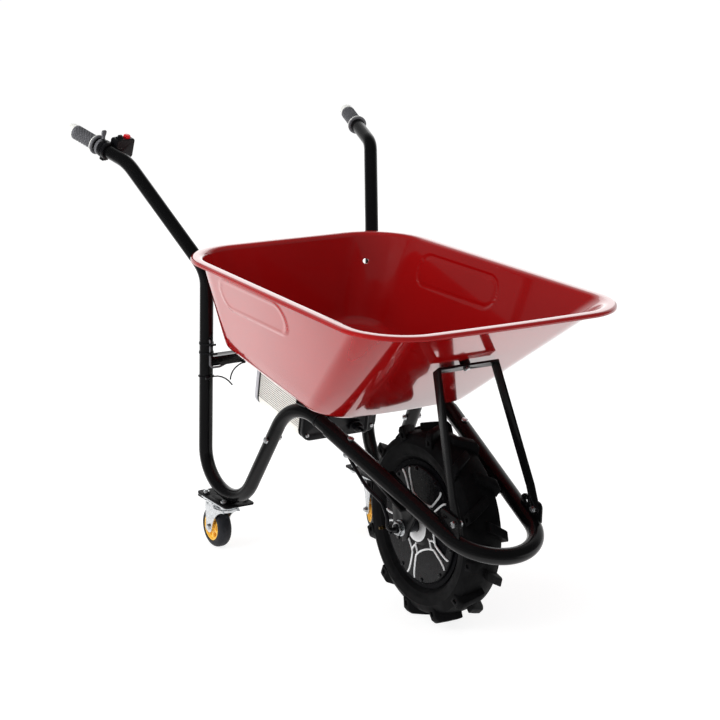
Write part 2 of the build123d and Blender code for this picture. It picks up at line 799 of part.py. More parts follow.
for side_name, side in sides:
    with BuildPart() as dropout:
        inner_plane = Plane(origin=(axle_x, side * dropout_in, 0), x_dir=(1, 0, 0), z_dir=(0, -1, 0))
        rear_z = tube_z(-dropout_rear) - front_tube_slant
        front_z = tube_z(dropout_front) - front_tube_slant
        with BuildSketch(inner_plane):
            with BuildLine():
                Polyline(
                    (-dropout_rear, rear_z),
                    (dropout_front, front_z),
                    (dropout_r, axle_z),
                    (-dropout_r, axle_z),
                    close=True,
                )
            make_face()
            with Locations((0, axle_z)):
                Circle(dropout_r)
            with Locations((0, axle_z + axle_d / 2 + bolt_gap)):
                Rectangle(
                    axle_flat + 2 * bolt_gap,
                    axle_d + 2 * dropout_r,
                    align=(Align.CENTER, Align.MAX),
                    mode=Mode.SUBTRACT,
                )
        extrude(amount=-side * dropout_t)
        with BuildSketch(inner_plane):
            with BuildLine():
                Polyline(
                    (-dropout_rear, rear_z),
                    (dropout_front, front_z),
                    (dropout_front, front_z - dropout_t),
                    (-dropout_rear, rear_z - dropout_t),
                    close=True,
                )
            make_face()
        extrude(amount=-side * (flange_reach - dropout_in))
    dropout.part.label = f"{side_name}_dropout"
    export_step(dropout.part, f"parts/{side_name}_dropout.step")

motor_cable_d = 8.0
with BuildPart() as axle:
    with BuildSketch(Plane(origin=wheel_plane.origin, z_dir=(0, 1, 0))):
        Circle(axle_d / 2)
    extrude(amount=axle_half_length, both=True)
    with BuildSketch(Plane(origin=wheel_plane.origin, z_dir=(0, 1, 0))):
        Circle(axle_collar_d / 2)
    extrude(amount=dropout_in, both=True)
    with BuildSketch(Plane(origin=wheel_plane.origin, z_dir=(0, 1, 0))):
        Circle(axle_collar_d)
        Circle(axle_d / 2, mode=Mode.SUBTRACT)
    extrude(amount=boss_face + 1, both=True, mode=Mode.SUBTRACT)
    for side_name, side in sides:
        with BuildSketch(y_plane(axle_x, side * dropout_in, axle_z, side)):
            with GridLocations(axle_flat + axle_d, 0, 2, 1):
                Rectangle(axle_d, 2 * axle_d)
        extrude(amount=axle_half_length, mode=Mode.SUBTRACT)
    with BuildSketch(y_plane(axle_x, -axle_half_length, axle_z, -1)):
        Circle(motor_cable_d / 2 + bolt_gap)
    extrude(amount=-30, mode=Mode.SUBTRACT)
axle.part.label = "axle"
export_step(axle.part, "parts/axle.step")

with BuildPart() as axle_fasteners:
    for side_name, side in sides:
        outer_plane = y_plane(axle_x, side * (dropout_in + dropout_t), axle_z, side)
        with BuildSketch(outer_plane):
            Circle(axle_nut_r + 4)
            Circle(axle_d / 2 + fit_gap, mode=Mode.SUBTRACT)
        extrude(amount=washer_t)
        with BuildSketch(outer_plane.offset(washer_t + fit_gap)):
            RegularPolygon(axle_nut_r, 6, major_radius=False)
            Circle(axle_d / 2 + fit_gap, mode=Mode.SUBTRACT)
        extrude(amount=axle_nut_h)
axle_fasteners.part.label = "axle_fasteners"
export_step(axle_fasteners.part, "parts/axle_fasteners.step")

# Hub motor
magnet_t = 6.0
magnet_half = 24.0
air_gap = 1.0
stator_half = 19.0
slot_count = 18
drop_r = 131.0
bead_out = 31.0
bead_in = 21.0
cover_back = rim_half
cover_top = 41.0
cover_screw = 5.0
cover_screw_r = 123.0
cover_screw_count = 10
window_depth = 3.0
spoke_count = 5
spoke_turn = 116.0
cover_screw_turn = spoke_turn + 180 / cover_screw_count

with BuildPart() as stator:
    with BuildSketch(Plane(origin=wheel_plane.origin, z_dir=(0, 1, 0))) as stator_face:
        Circle(drum_bore_r - magnet_t - air_gap)
        Circle(axle_d / 2 + fit_gap, mode=Mode.SUBTRACT)
        with PolarLocations(drum_bore_r - magnet_t - 22, slot_count):
            SlotOverall(30, 12, mode=Mode.SUBTRACT)
        with PolarLocations(44, 6):
            Circle(15, mode=Mode.SUBTRACT)
    extrude(amount=stator_half, both=True)
stator.part.label = "stator"
export_step(stator.part, "parts/stator.step")

with BuildPart() as magnet_ring:
    with BuildSketch(Plane(origin=wheel_plane.origin, z_dir=(0, 1, 0))):
        Circle(drum_bore_r - fit_gap)
        Circle(drum_bore_r - magnet_t, mode=Mode.SUBTRACT)
    extrude(amount=magnet_half, both=True)
magnet_ring.part.label = "magnet_ring"
export_step(magnet_ring.part, "parts/magnet_ring.step")

with BuildPart() as motor_rim:
    with BuildSketch(wheel_plane):
        with BuildLine():
            Polyline(
                (drum_bore_r, -rim_half),
                (drum_bore_r, rim_half),
                (flange_r, rim_half),
                (flange_r, bead_out),
                (bead_r, bead_out),
                (bead_r, bead_in),
                (drop_r, bead_in - 4),
                (drop_r, 4 - bead_in),
                (bead_r, -bead_in),
                (bead_r, -bead_out),
                (flange_r, -bead_out),
                (flange_r, -rim_half),
                close=True,
            )
        make_face()
    revolve(axis=wheel_axis)
    for side_name, side in sides:
        with BuildSketch(y_plane(axle_x, side * rim_half, axle_z, side)):
            with PolarLocations(cover_screw_r, cover_screw_count, cover_screw_turn):
                Circle(cover_screw / 2 + bolt_gap)
        extrude(amount=-16, mode=Mode.SUBTRACT)
motor_rim.part.label = "motor_rim"
export_step(motor_rim.part, "parts/motor_rim.step")

for side_name, side in sides:
    with BuildPart() as motor_cover:
        with BuildSketch(wheel_plane):
            with BuildLine():
                Polyline(
                    (bearing_d / 2, side * bearing_in),
                    (30, side * bearing_in),
                    (34, side * cover_back),
                    (cover_r, side * cover_back),
                    (cover_r, side * (cover_top - 3)),
                    (cover_r - 3, side * cover_top),
                    (boss_r + 8, side * cover_top),
                    (boss_r, side * boss_face),
                    (axle_d / 2 + moving_gap, side * boss_face),
                    (axle_d / 2 + moving_gap, side * (bearing_in + bearing_w)),
                    (bearing_d / 2, side * (bearing_in + bearing_w)),
                    close=True,
                )
            make_face()
        revolve(axis=wheel_axis)
        face_plane = y_plane(axle_x, side * cover_top, axle_z, side)
        with BuildSketch(face_plane):
            with PolarLocations(0, spoke_count, spoke_turn + 180 / spoke_count):
                for turn in (-1, 1):
                    with BuildLine():
                        Polyline(
                            (58 * math.cos(0.07), 58 * turn * math.sin(0.07)),
                            (112 * math.cos(0.045), 112 * turn * math.sin(0.045)),
                            (112 * math.cos(0.47), 112 * turn * math.sin(0.47)),
                            (64 * math.cos(0.3), 64 * turn * math.sin(0.3)),
                            close=True,
                        )
                    make_face()
        extrude(amount=-window_depth, mode=Mode.SUBTRACT)
        with BuildSketch(face_plane):
            with PolarLocations(cover_screw_r, cover_screw_count, cover_screw_turn):
                Circle(cover_screw / 2 + bolt_gap)
        extrude(amount=-12, mode=Mode.SUBTRACT)
    motor_cover.part.label = f"{side_name}_motor_cover"
    export_step(motor_cover.part, f"parts/{side_name}_motor_cover.step")

with BuildPart() as cover_screws:
    for side_name, side in sides:
        for index in range(cover_screw_count):
            turn = math.radians(cover_screw_turn + index * 360 / cover_screw_count)
            spot = Vector(
                axle_x + side * -cover_screw_r * math.cos(turn),
                side * cover_top,
                axle_z + cover_screw_r * math.sin(turn),
            )
            add(screw(spot, (0, -side, 0), cover_screw, 16))
cover_screws.part.label = "cover_screws"
export_step(cover_screws.part, "parts/cover_screws.step")

with BuildPart() as motor_bearings:
    for side_name, side in sides:
        with BuildSketch(y_plane(axle_x, side * bearing_in, axle_z, side)):
            Circle(bearing_d / 2 - fit_gap)
            Circle(axle_d / 2 + running_gap, mode=Mode.SUBTRACT)
        extrude(amount=bearing_w)
motor_bearings.part.label = "motor_bearings"
export_step(motor_bearings.part, "parts/motor_bearings.step")

# Tyre
carcass_r = tyre_r - lug_height
shoulder_r = carcass_r - 6
shoulder = 36.0
tyre_wall = 8.0
lug_width = 24.0
lug_sweep = 34.0

with BuildPart() as lug:
    with BuildSketch(Plane(origin=(axle_x, 0, axle_z + shoulder_r - 12))) as lug_face:
        with BuildLine():
            Polyline(
                (lug_width / 2, 4),
                (-lug_width / 2, 4),
                (lug_sweep - lug_width / 2, -tyre_half),
                (lug_sweep + lug_width / 2, -tyre_half),
                close=True,
            )
        make_face()
        fillet(lug_face.vertices().sort_by(Axis.Y)[-2:], 5)
    extrude(amount=60, taper=4)
    with BuildSketch(wheel_plane):
        with BuildLine():
            Line((0, -tyre_half), (tyre_r - 14, -tyre_half))
            Line((tyre_r - 14, -tyre_half), (tyre_r - 3, 6 - tyre_half))
            ThreePointArc((tyre_r - 3, 6 - tyre_half), (tyre_r, 0), (tyre_r - 3, tyre_half - 6))
            Line((tyre_r - 3, tyre_half - 6), (tyre_r - 14, tyre_half))
            Line((tyre_r - 14, tyre_half), (0, tyre_half))
            Line((0, tyre_half), (0, -tyre_half))
        make_face()
    revolve(axis=wheel_axis, mode=Mode.INTERSECT)

with BuildPart() as tyre:
    with BuildSketch(wheel_plane):
        with BuildLine():
            Line((bead_r, -bead_in), (bead_r, -bead_out))
            Line((bead_r, -bead_out), (flange_r + 1, -bead_out))
            ThreePointArc(
                (flange_r + 1, -bead_out),
                (flange_r + 28, -tyre_half),
                (shoulder_r, -shoulder),
            )
            ThreePointArc((shoulder_r, -shoulder), (carcass_r, 0), (shoulder_r, shoulder))
            ThreePointArc((shoulder_r, shoulder), (flange_r + 28, tyre_half), (flange_r + 1, bead_out))
            Line((flange_r + 1, bead_out), (bead_r, bead_out))
            Line((bead_r, bead_out), (bead_r, bead_in))
            Line((bead_r, bead_in), (bead_r, -bead_in))
        make_face()
    revolve(axis=wheel_axis)
    for index in range(lug_count // 2):
        add(lug.part.rotate(wheel_axis, index * 720 / lug_count))
        add(lug.part.mirror(Plane.XZ).rotate(wheel_axis, (index + 0.5) * 720 / lug_count))
    with BuildSketch(wheel_plane):
        with BuildLine():
            Line((bead_r - 1, -bead_in - 1), (flange_r + 3, -bead_in - 1))
            ThreePointArc(
                (flange_r + 3, -bead_in - 1),
                (flange_r + 27, tyre_wall - tyre_half),
                (shoulder_r - 8, 7 - shoulder),
            )
            ThreePointArc(
                (shoulder_r - 8, 7 - shoulder),
                (carcass_r - tyre_wall, 0),
                (shoulder_r - 8, shoulder - 7),
            )
            ThreePointArc(
                (shoulder_r - 8, shoulder - 7),
                (flange_r + 27, tyre_half - tyre_wall),
                (flange_r + 3, bead_in + 1),
            )
            Line((flange_r + 3, bead_in + 1), (bead_r - 1, bead_in + 1))
            Line((bead_r - 1, bead_in + 1), (bead_r - 1, -bead_in - 1))
        make_face()
    revolve(axis=wheel_axis, mode=Mode.SUBTRACT)
tyre.part.label = "tyre"
export_step(tyre.part, "parts/tyre.step")

valve_r = 4.0
valve_angle = math.radians(200)
valve_ring_r = (cover_r + flange_r) / 2 + 0.5
with BuildPart() as tyre_valve:
    valve_spot = Vector(
        axle_x + valve_ring_r * math.cos(valve_angle),
        -rim_half,
        axle_z + valve_ring_r * math.sin(valve_angle),
    )
    valve_plane = y_plane(valve_spot.X, valve_spot.Y, valve_spot.Z, -1)
    with BuildSketch(valve_plane):
        Circle(valve_r)
    extrude(amount=16)
    with BuildSketch(valve_plane.offset(16)):
        Circle(valve_r - 0.7)
    extrude(amount=8)
    fillet(tyre_valve.faces().sort_by(Axis.Y)[0].edges(), 1)
tyre_valve.part.label = "tyre_valve"
export_step(tyre_valve.part, "parts/tyre_valve.step")

# Castors under the two legs
castor_bolt = 8.0
castor_bolt_x = 84.0
castor_bolt_y = 56.0
castor_plate_x = 104.0
castor_plate_y = 76.0
foot_plate_x = 140.0
foot_plate_y = 78.0
kingpin_d = 12.0
race_r = 27.0
race_gap = 1.0
crown_r = 31.0
crown_low = 104.0
crown_top = 113.0
fork_gap = 19.5
fork_t = 3.0
fork_end_r = 13.0
castor_bolt_d = 8.0
castor_hub_r = 33.0
castor_tyre_round = 14.0
castor_hub_bore = castor_bolt_d / 2 + running_gap
pedal_back = 50.0
pedal_z = 106.0
pedal_pin_d = 6.0
pedal_length = 58.0
castor_r = castor_wheel_d / 2


def castor_point(side, heading, x, y, z):
    """A point of a castor: x ahead of the kingpin, y to its left, z above the ground."""
    turn = math.radians(heading)
    return Vector(
        axle_x - castor_run + x * math.cos(turn) - y * math.sin(turn),
        side * castor_half + x * math.sin(turn) + y * math.cos(turn),
        z,
    )


def castor_flat(side, heading, z):
    """Level plane through the kingpin, its X direction the way the castor heads."""
    turn = math.radians(heading)
    return Plane(origin=castor_point(side, heading, 0, 0, z), x_dir=(math.cos(turn), math.sin(turn), 0))


def castor_upright(side, heading, x, y, z):
    """Upright plane along a castor facing its right, its X direction ahead and Y direction up."""
    turn = math.radians(heading)
    return Plane(
        origin=castor_point(side, heading, x, y, z),
        x_dir=(math.cos(turn), math.sin(turn), 0),
        z_dir=(math.sin(turn), -math.cos(turn), 0),
    )


with BuildPart() as foot_plates:
    for side_name, side in sides:
        with BuildSketch(castor_flat(side, 0, castor_height)):
            RectangleRounded(foot_plate_x, foot_plate_y, 8)
            with GridLocations(castor_bolt_x, castor_bolt_y, 2, 2):
                Circle(castor_bolt / 2 + bolt_gap, mode=Mode.SUBTRACT)
            Circle(kingpin_d / 2 + bolt_gap, mode=Mode.SUBTRACT)
        extrude(amount=foot_plate_t)
foot_plates.part.label = "foot_plates"
export_step(foot_plates.part, "parts/foot_plates.step")

with BuildPart() as castor_bolts:
    for side_name, side in sides:
        for bolt_x in (-castor_bolt_x / 2, castor_bolt_x / 2):
            for bolt_y in (-castor_bolt_y / 2, castor_bolt_y / 2):
                spot = castor_point(side, 0, bolt_x, bolt_y, castor_height - castor_plate_t)
                add(bolt(spot, (0, 0, 1), castor_bolt, castor_plate_t + foot_plate_t))
castor_bolts.part.label = "castor_bolts"
export_step(castor_bolts.part, "parts/castor_bolts.step")

with BuildPart() as castor_kingpins:
    for side_name, side in sides:
        with BuildSketch(castor_flat(side, 0, crown_low - moving_gap)):
            Circle(kingpin_d / 2)
        extrude(amount=castor_height + 1 - crown_low + moving_gap)
        with BuildSketch(castor_flat(side, 0, crown_low - moving_gap)):
            Circle(kingpin_d - 1)
        extrude(amount=-7)
castor_kingpins.part.label = "castor_kingpins"
export_step(castor_kingpins.part, "parts/castor_kingpins.step")

for side_name, side, heading in (("right", -1, right_heading), ("left", 1, left_heading)):
    with BuildPart() as castor_plate:
        with BuildSketch(castor_flat(side, 0, castor_height - castor_plate_t)):
            RectangleRounded(castor_plate_x, castor_plate_y, 6)
            with GridLocations(castor_bolt_x, castor_bolt_y, 2, 2):
                Circle(castor_bolt / 2 + bolt_gap, mode=Mode.SUBTRACT)
        extrude(amount=castor_plate_t)
        with BuildSketch(castor_flat(side, 0, crown_top + race_gap)):
            Circle(race_r - 5)
        with BuildSketch(castor_flat(side, 0, castor_height - castor_plate_t)):
            Circle(race_r)
        loft()
        with BuildSketch(castor_flat(side, 0, crown_top)):
            Circle(kingpin_d / 2 + fit_gap)
        extrude(amount=castor_height, mode=Mode.SUBTRACT)
    castor_plate.part.label = f"{side_name}_castor_plate"
    export_step(castor_plate.part, f"parts/{side_name}_castor_plate.step")

    with BuildPart() as castor_fork:
        with BuildSketch(castor_flat(side, heading, crown_low)):
            Circle(crown_r)
        extrude(amount=crown_top - crown_low)
        fillet(castor_fork.faces().sort_by(Axis.Z)[-1].edges(), 4)
        for edge in (-1, 1):
            leg_plane = castor_upright(side, heading, 0, edge * fork_gap, 0)
            with BuildSketch(leg_plane) as leg_face:
                with BuildLine():
                    outline = Polyline(
                        (30, crown_low),
                        (24, crown_low + 6),
                        (-pedal_back - 6, crown_low + 8),
                        (-pedal_back - 8, crown_low - 6),
                        (-castor_trail - fork_end_r, castor_r),
                        (-castor_trail + fork_end_r, castor_r - 2),
                    )
                    ThreePointArc(outline @ 1, (-13, 79), outline @ 0)
                make_face()
                with Locations((-castor_trail, castor_r)):
                    Circle(fork_end_r)
                with Locations((-castor_trail, castor_r)):
                    Circle(castor_bolt_d / 2 + bolt_gap, mode=Mode.SUBTRACT)
            extrude(amount=-edge * fork_t)
        with BuildSketch(castor_upright(side, heading, -pedal_back, 0, pedal_z)):
            Circle(pedal_pin_d / 2)
        extrude(amount=fork_gap + fork_t + 1, both=True)
        with BuildSketch(castor_flat(side, heading, crown_low)):
            Circle(kingpin_d / 2 + running_gap)
        extrude(amount=crown_top, mode=Mode.SUBTRACT)
    castor_fork.part.label = f"{side_name}_castor_fork"
    export_step(castor_fork.part, f"parts/{side_name}_castor_fork.step")

    with BuildPart() as castor_axle:
        reach = fork_gap + fork_t
        across = castor_upright(side, heading, -castor_trail, 0, castor_r)
        add(bolt(across.offset(reach).origin, -across.z_dir, castor_bolt_d, 2 * reach))
    castor_axle.part.label = f"{side_name}_castor_axle"
    export_step(castor_axle.part, f"parts/{side_name}_castor_axle.step")

    with BuildPart() as castor_hub:
        with BuildSketch(across):
            Circle(castor_hub_r)
        extrude(amount=castor_wheel_w / 2 - 5, both=True)
        with BuildSketch(across):
            Circle(castor_hub_r)
            Circle(castor_hub_r - 4, mode=Mode.SUBTRACT)
            Circle(13)
        extrude(amount=castor_wheel_w / 2 - 1, both=True)
        with BuildSketch(across):
            Circle(11)
        extrude(amount=fork_gap - moving_gap, both=True)
        with BuildSketch(across):
            with PolarLocations(21, 6):
                SlotOverall(16, 11, rotation=90)
        extrude(amount=castor_wheel_w, both=True, mode=Mode.SUBTRACT)
        with BuildSketch(across):
            Circle(castor_hub_bore)
        extrude(amount=castor_wheel_w, both=True, mode=Mode.SUBTRACT)
    castor_hub.part.label = f"{side_name}_castor_hub"
    export_step(castor_hub.part, f"parts/{side_name}_castor_hub.step")

    with BuildPart() as castor_tyre:
        with BuildSketch(across):
            Circle(castor_r)
            Circle(castor_hub_r, mode=Mode.SUBTRACT)
        extrude(amount=castor_wheel_w / 2, both=True)
        fillet(castor_tyre.edges().filter_by(GeomType.CIRCLE).group_by(SortBy.RADIUS)[-1], castor_tyre_round)
    castor_tyre.part.label = f"{side_name}_castor_tyre"
    export_step(castor_tyre.part, f"parts/{side_name}_castor_tyre.step")

    with BuildPart() as brake_pedal:
        with BuildSketch(castor_upright(side, heading, 0, 0, 0)):
            with Locations((-pedal_back, pedal_z)):
                Circle(pedal_pin_d / 2 + 3)
            with Locations((-pedal_back, pedal_z + pedal_pin_d / 2)):
                Rectangle(pedal_length, 3, align=(Align.MAX, Align.MIN))
            with Locations((-pedal_back, pedal_z)):
                Circle(pedal_pin_d / 2 + running_gap, mode=Mode.SUBTRACT)
        extrude(amount=fork_gap - moving_gap, both=True)
        kingpin_spot = castor_point(side, heading, 0, 0, pedal_z)
        fillet(brake_pedal.edges().filter_by(Axis.Z).sort_by_distance(kingpin_spot)[-2:], 8)
    brake_pedal.part.label = f"{side_name}_brake_pedal"
    export_step(brake_pedal.part, f"parts/{side_name}_brake_pedal.step")

# Grips and controls on the handles
grip_r = 18.0
grip_flange_r = 23.5
grip_flange_t = 5.0
housing_start = 53.0
housing_end = 77.5
housing_near = 8.0
housing_far = 62.0
housing_low = 16.0
housing_top = 31.0
collar_start = 66.0
collar_w = 10.0
collar_r = 21.0
collar_split = 7.0
button_inward = 46.0
button_r = 8.5
button_gap = 0.4
button_depth = 14.0
button_rise = 7.0
button_travel = 2.0
rocker_inward = 24.0
rocker_r = 7.0
rocker_w = 13.0
clamp_start = 78.0
clamp_w = 11.0
clamp_r = 21.0
lever_w = 10.0
lever_r = 20.0
lever_tip = 42.0

for side_name, side in sides:
    with BuildPart() as grip:
        with BuildSketch(handle_plane(side, grip_start)):
            Circle(grip_flange_r)
        extrude(amount=grip_flange_t)
        fillet(grip.edges().filter_by(GeomType.CIRCLE), 1.5)
        with BuildSketch(handle_plane(side, grip_start)):
            Circle(grip_r)
        extrude(amount=grip_end - grip_start)
        fillet(grip.faces().sort_by(Axis.X)[0].edges(), 3)
        with BuildSketch(handle_plane(side, grip_start)):
            Circle(rear_tube_d / 2 + fit_gap)
        extrude(amount=grip_end - grip_start - 4, mode=Mode.SUBTRACT)
    grip.part.label = f"{side_name}_grip"
    export_step(grip.part, f"parts/{side_name}_grip.step")

with BuildPart() as grip_end_caps:
    for side_name, side in sides:
        with BuildSketch(handle_plane(side, grip_end)):
            Circle(end_cap_r)
        extrude(amount=end_cap_t, taper=end_cap_taper)
grip_end_caps.part.label = "grip_end_caps"
export_step(grip_end_caps.part, "parts/grip_end_caps.step")

with BuildPart() as switch_housing:
    with BuildSketch(handle_plane(-1, housing_start)) as housing_face:
        with Locations((-housing_near, -housing_low)):
            Rectangle(housing_far - housing_near, housing_low + housing_top, align=(Align.MAX, Align.MIN))
        fillet(housing_face.vertices(), 6)
    extrude(amount=housing_end - housing_start)
    fillet(switch_housing.faces().sort_by(Axis.X)[0].edges(), 2)
    fillet(switch_housing.faces().sort_by(Axis.X)[-1].edges(), 2)
    with BuildSketch(handle_plane(-1, collar_start)):
        Circle(collar_r)
        with Locations((-collar_split / 2, -collar_r)):
            Rectangle(collar_split, collar_r, mode=Mode.SUBTRACT)
    extrude(amount=collar_w)
    with BuildSketch(handle_plane(-1, housing_start)):
        Circle(rear_tube_d / 2 + fit_gap)
    extrude(amount=housing_end - housing_start, mode=Mode.SUBTRACT)
    switch_seat = handle_plane(-1, (housing_start + housing_end) / 2)
    button_mouth = switch_seat.from_local_coords(Vector(-button_inward, housing_top, 0))
    with BuildSketch(Plane(origin=button_mouth, z_dir=switch_seat.y_dir)):
        Circle(button_r + button_gap)
    extrude(amount=-button_depth, mode=Mode.SUBTRACT)
    rocker_pivot = switch_seat.from_local_coords(Vector(-rocker_inward, housing_top - 2, 0))
    with BuildSketch(Plane(origin=rocker_pivot, z_dir=switch_seat.x_dir)):
        Circle(rocker_r + moving_gap)
    extrude(amount=rocker_w / 2 + moving_gap, both=True, mode=Mode.SUBTRACT)
switch_housing.part.label = "switch_housing"
export_step(switch_housing.part, "parts/switch_housing.step")

with BuildPart() as red_button:
    button_foot = housing_top - button_depth + button_travel + moving_gap
    button_low = switch_seat.from_local_coords(Vector(-button_inward, button_foot, 0))
    with BuildSketch(Plane(origin=button_low, z_dir=switch_seat.y_dir)):
        Circle(button_r)
    extrude(amount=housing_top + button_rise - button_foot)
    fillet(red_button.faces().sort_by(Axis(button_low, switch_seat.y_dir))[-1].edges(), 4)
red_button.part.label = "red_button"
export_step(red_button.part, "parts/red_button.step")

with BuildPart() as rocker_switch:
    with BuildSketch(Plane(origin=rocker_pivot, x_dir=switch_seat.z_dir, z_dir=switch_seat.x_dir)):
        Circle(rocker_r)
    extrude(amount=rocker_w / 2, both=True)
    with BuildSketch(Plane(origin=rocker_pivot, x_dir=switch_seat.x_dir, z_dir=switch_seat.y_dir)):
        Rectangle(rocker_w - 3, 4)
    extrude(amount=rocker_r + 3)
rocker_switch.part.label = "rocker_switch"
export_step(rocker_switch.part, "parts/rocker_switch.step")

with BuildPart() as throttle_clamp:
    with BuildSketch(handle_plane(-1, clamp_start)):
        Circle(clamp_r)
        with Locations((0, -clamp_r)):
            RectangleRounded(14, 14, 3)
        Circle(rear_tube_d / 2 + fit_gap, mode=Mode.SUBTRACT)
        with Locations((0, -clamp_r - 2)):
            Rectangle(1.6, 20, mode=Mode.SUBTRACT)
    extrude(amount=clamp_w)
throttle_clamp.part.label = "throttle_clamp"
export_step(throttle_clamp.part, "parts/throttle_clamp.step")

with BuildPart() as throttle_lever:
    with BuildSketch(handle_plane(-1, clamp_start + clamp_w + moving_gap)) as lever_face:
        Circle(lever_r)
        with Locations((0, lever_r - 4)):
            Rectangle(11, lever_tip - lever_r + 4, align=(Align.CENTER, Align.MIN))
        fillet(lever_face.vertices().sort_by(Axis.Y)[-2:], 4)
        Circle(rear_tube_d / 2 + running_gap, mode=Mode.SUBTRACT)
    extrude(amount=lever_w)
throttle_lever.part.label = "throttle_lever"
export_step(throttle_lever.part, "parts/throttle_lever.step")

# Cables and their ties
cable_x = rear_tube_d / 2 + control_cable_d / 2 + fit_gap
gland = box_plane.from_local_coords(Vector(gland_x, gland_y, box_length))
cable_low_z = member_z - member_h / 2 - control_cable_d / 2 - fit_gap
cable_drop_x = gland.X - 20
plug_end = box_plane.from_local_coords(Vector(socket_x, socket_y, -22))

with BuildPart() as control_cable:
    with BuildLine() as route:
        leg_line = side_point(-1, 0, control_hole_z)
        FilletPolyline(
            leg_line,
            leg_line + Vector(cable_x, 0, 0),
            Vector(leg_line.X + cable_x, leg_line.Y, cable_low_z),
            Vector(leg_line.X + cable_x, leg_line.Y + 26, cable_low_z),
            Vector(leg_line.X, leg_line.Y + 52, cable_low_z),
            Vector(cable_drop_x, gland.Y, cable_low_z),
            Vector(cable_drop_x, gland.Y, gland.Z),
            gland,
            radius=(8, 10, 10, 12, 12, 10),
        )
    with BuildSketch(Plane(origin=route.line @ 0, z_dir=route.line % 0)):
        Circle(control_cable_d / 2)
    sweep()
control_cable.part.label = "control_cable"
export_step(control_cable.part, "parts/control_cable.step")

clip_reach = rear_tube_d / 2 + motor_cable_d / 2 + fit_gap
clip_spot = fall_point(-1, fall_run(-195)) - side_out(-1) * clip_reach
clip_back = fall_point(-1, fall_run(-250)) - side_out(-1) * clip_reach
with BuildPart() as motor_cable:
    with BuildLine() as route:
        FilletPolyline(
            plug_end,
            plug_end - box_plane.z_dir * 24,
            plug_end + Vector(34, 0, 88),
            Vector(axle_x - 300, -90, plug_end.Z + 86),
            clip_back,
            clip_spot,
            Vector(axle_x - 143, -118, 316),
            Vector(axle_x - 92, -117, 284),
            Vector(axle_x - 30, -117, 268),
            Vector(axle_x, -122, axle_z + 28),
            Vector(axle_x, -122, axle_z),
            Vector(axle_x, 15 - axle_half_length, axle_z),
            radius=(12, 14, 40, 30, 30, 30, 60, 20, 10, 12),
        )
    with BuildSketch(Plane(origin=route.line @ 0, z_dir=route.line % 0)):
        Circle(motor_cable_d / 2)
    sweep()
motor_cable.part.label = "motor_cable"
export_step(motor_cable.part, "parts/motor_cable.step")

tie_t = 1.3
tie_w = 4.8


def tie_hull(cable_r, reach, growth):
    """Outline drawn tight around a rear tube and a cable beside it."""
    with BuildSketch() as hull:
        Circle(rear_tube_d / 2 + growth)
        with Locations((reach, 0)):
            Circle(cable_r + growth)
        make_hull()
    return hull.sketch


def tie(plane, cable_r, tail):
    """A cable tie around a tube and a cable, with its lock and its cut tail."""
    reach = rear_tube_d / 2 + cable_r + fit_gap
    with BuildPart() as band:
        with BuildSketch(plane):
            add(tie_hull(cable_r, reach, fit_gap + tie_t))
            add(tie_hull(cable_r, reach, fit_gap), mode=Mode.SUBTRACT)
            with Locations((reach + cable_r + fit_gap + tie_t / 2, 0)):
                Rectangle(tie_t + 4, 6, align=(Align.MIN, Align.CENTER))
            with Locations((reach + cable_r + fit_gap + tie_t + 2, 2)):
                Rectangle(tie_t, tail, align=(Align.CENTER, Align.MIN))
        extrude(amount=tie_w / 2, both=True)
    return band.part


with BuildPart() as cable_ties:
    for tie_z, tail in ((494.0, 10.0), (472.0, 14.0)):
        leg_plane = Plane(origin=side_point(-1, 0, tie_z), x_dir=(1, 0, 0))
        add(tie(leg_plane, control_cable_d / 2, tail))
    clip_line = (clip_spot - clip_back).normalized()
    clip_plane = Plane(origin=fall_point(-1, fall_run(-218)), x_dir=-side_out(-1), z_dir=clip_line)
    add(tie(clip_plane, motor_cable_d / 2, 14.0))
cable_ties.part.label = "cable_ties"
export_step(cable_ties.part, "parts/cable_ties.step")
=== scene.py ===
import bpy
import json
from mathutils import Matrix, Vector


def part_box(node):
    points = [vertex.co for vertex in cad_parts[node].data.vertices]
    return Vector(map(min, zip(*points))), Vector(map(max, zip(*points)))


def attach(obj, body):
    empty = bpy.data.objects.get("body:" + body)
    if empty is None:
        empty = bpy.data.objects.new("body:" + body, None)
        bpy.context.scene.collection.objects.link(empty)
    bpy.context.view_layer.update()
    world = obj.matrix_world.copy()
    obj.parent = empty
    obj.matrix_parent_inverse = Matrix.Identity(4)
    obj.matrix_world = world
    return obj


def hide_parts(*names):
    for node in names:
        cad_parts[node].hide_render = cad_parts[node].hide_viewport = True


bl_info = {
    "name": "Electric wheelbarrow",
    "version": (1, 0, 0),
    "blender": (4, 5, 0),
    "location": "View3D > Sidebar > Wheelbarrow",
    "description": "Dresses the wheelbarrow's frame with its tray, tyre, grips, small fittings and finishes",
    "category": "Object",
}

import json
import math

import bmesh
import bpy
from mathutils import Matrix, Vector

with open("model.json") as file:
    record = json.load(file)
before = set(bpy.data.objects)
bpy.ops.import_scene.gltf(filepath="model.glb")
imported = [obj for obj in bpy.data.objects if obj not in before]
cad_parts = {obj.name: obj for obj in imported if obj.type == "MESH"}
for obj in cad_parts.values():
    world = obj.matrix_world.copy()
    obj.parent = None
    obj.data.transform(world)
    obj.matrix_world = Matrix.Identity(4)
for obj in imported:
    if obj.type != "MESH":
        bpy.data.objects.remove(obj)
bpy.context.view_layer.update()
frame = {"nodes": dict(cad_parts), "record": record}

MM = 0.001
axle = (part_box("axle")[0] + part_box("axle")[1]) / 2
wheel_r = 216
both_sides = (("right", -1), ("left", 1))


def from_axle(forward, left, height):
    """A point in metres from millimetres forward of the axle, left of the middle and above the ground."""
    return Vector((axle.x + forward * MM, left * MM, height * MM))


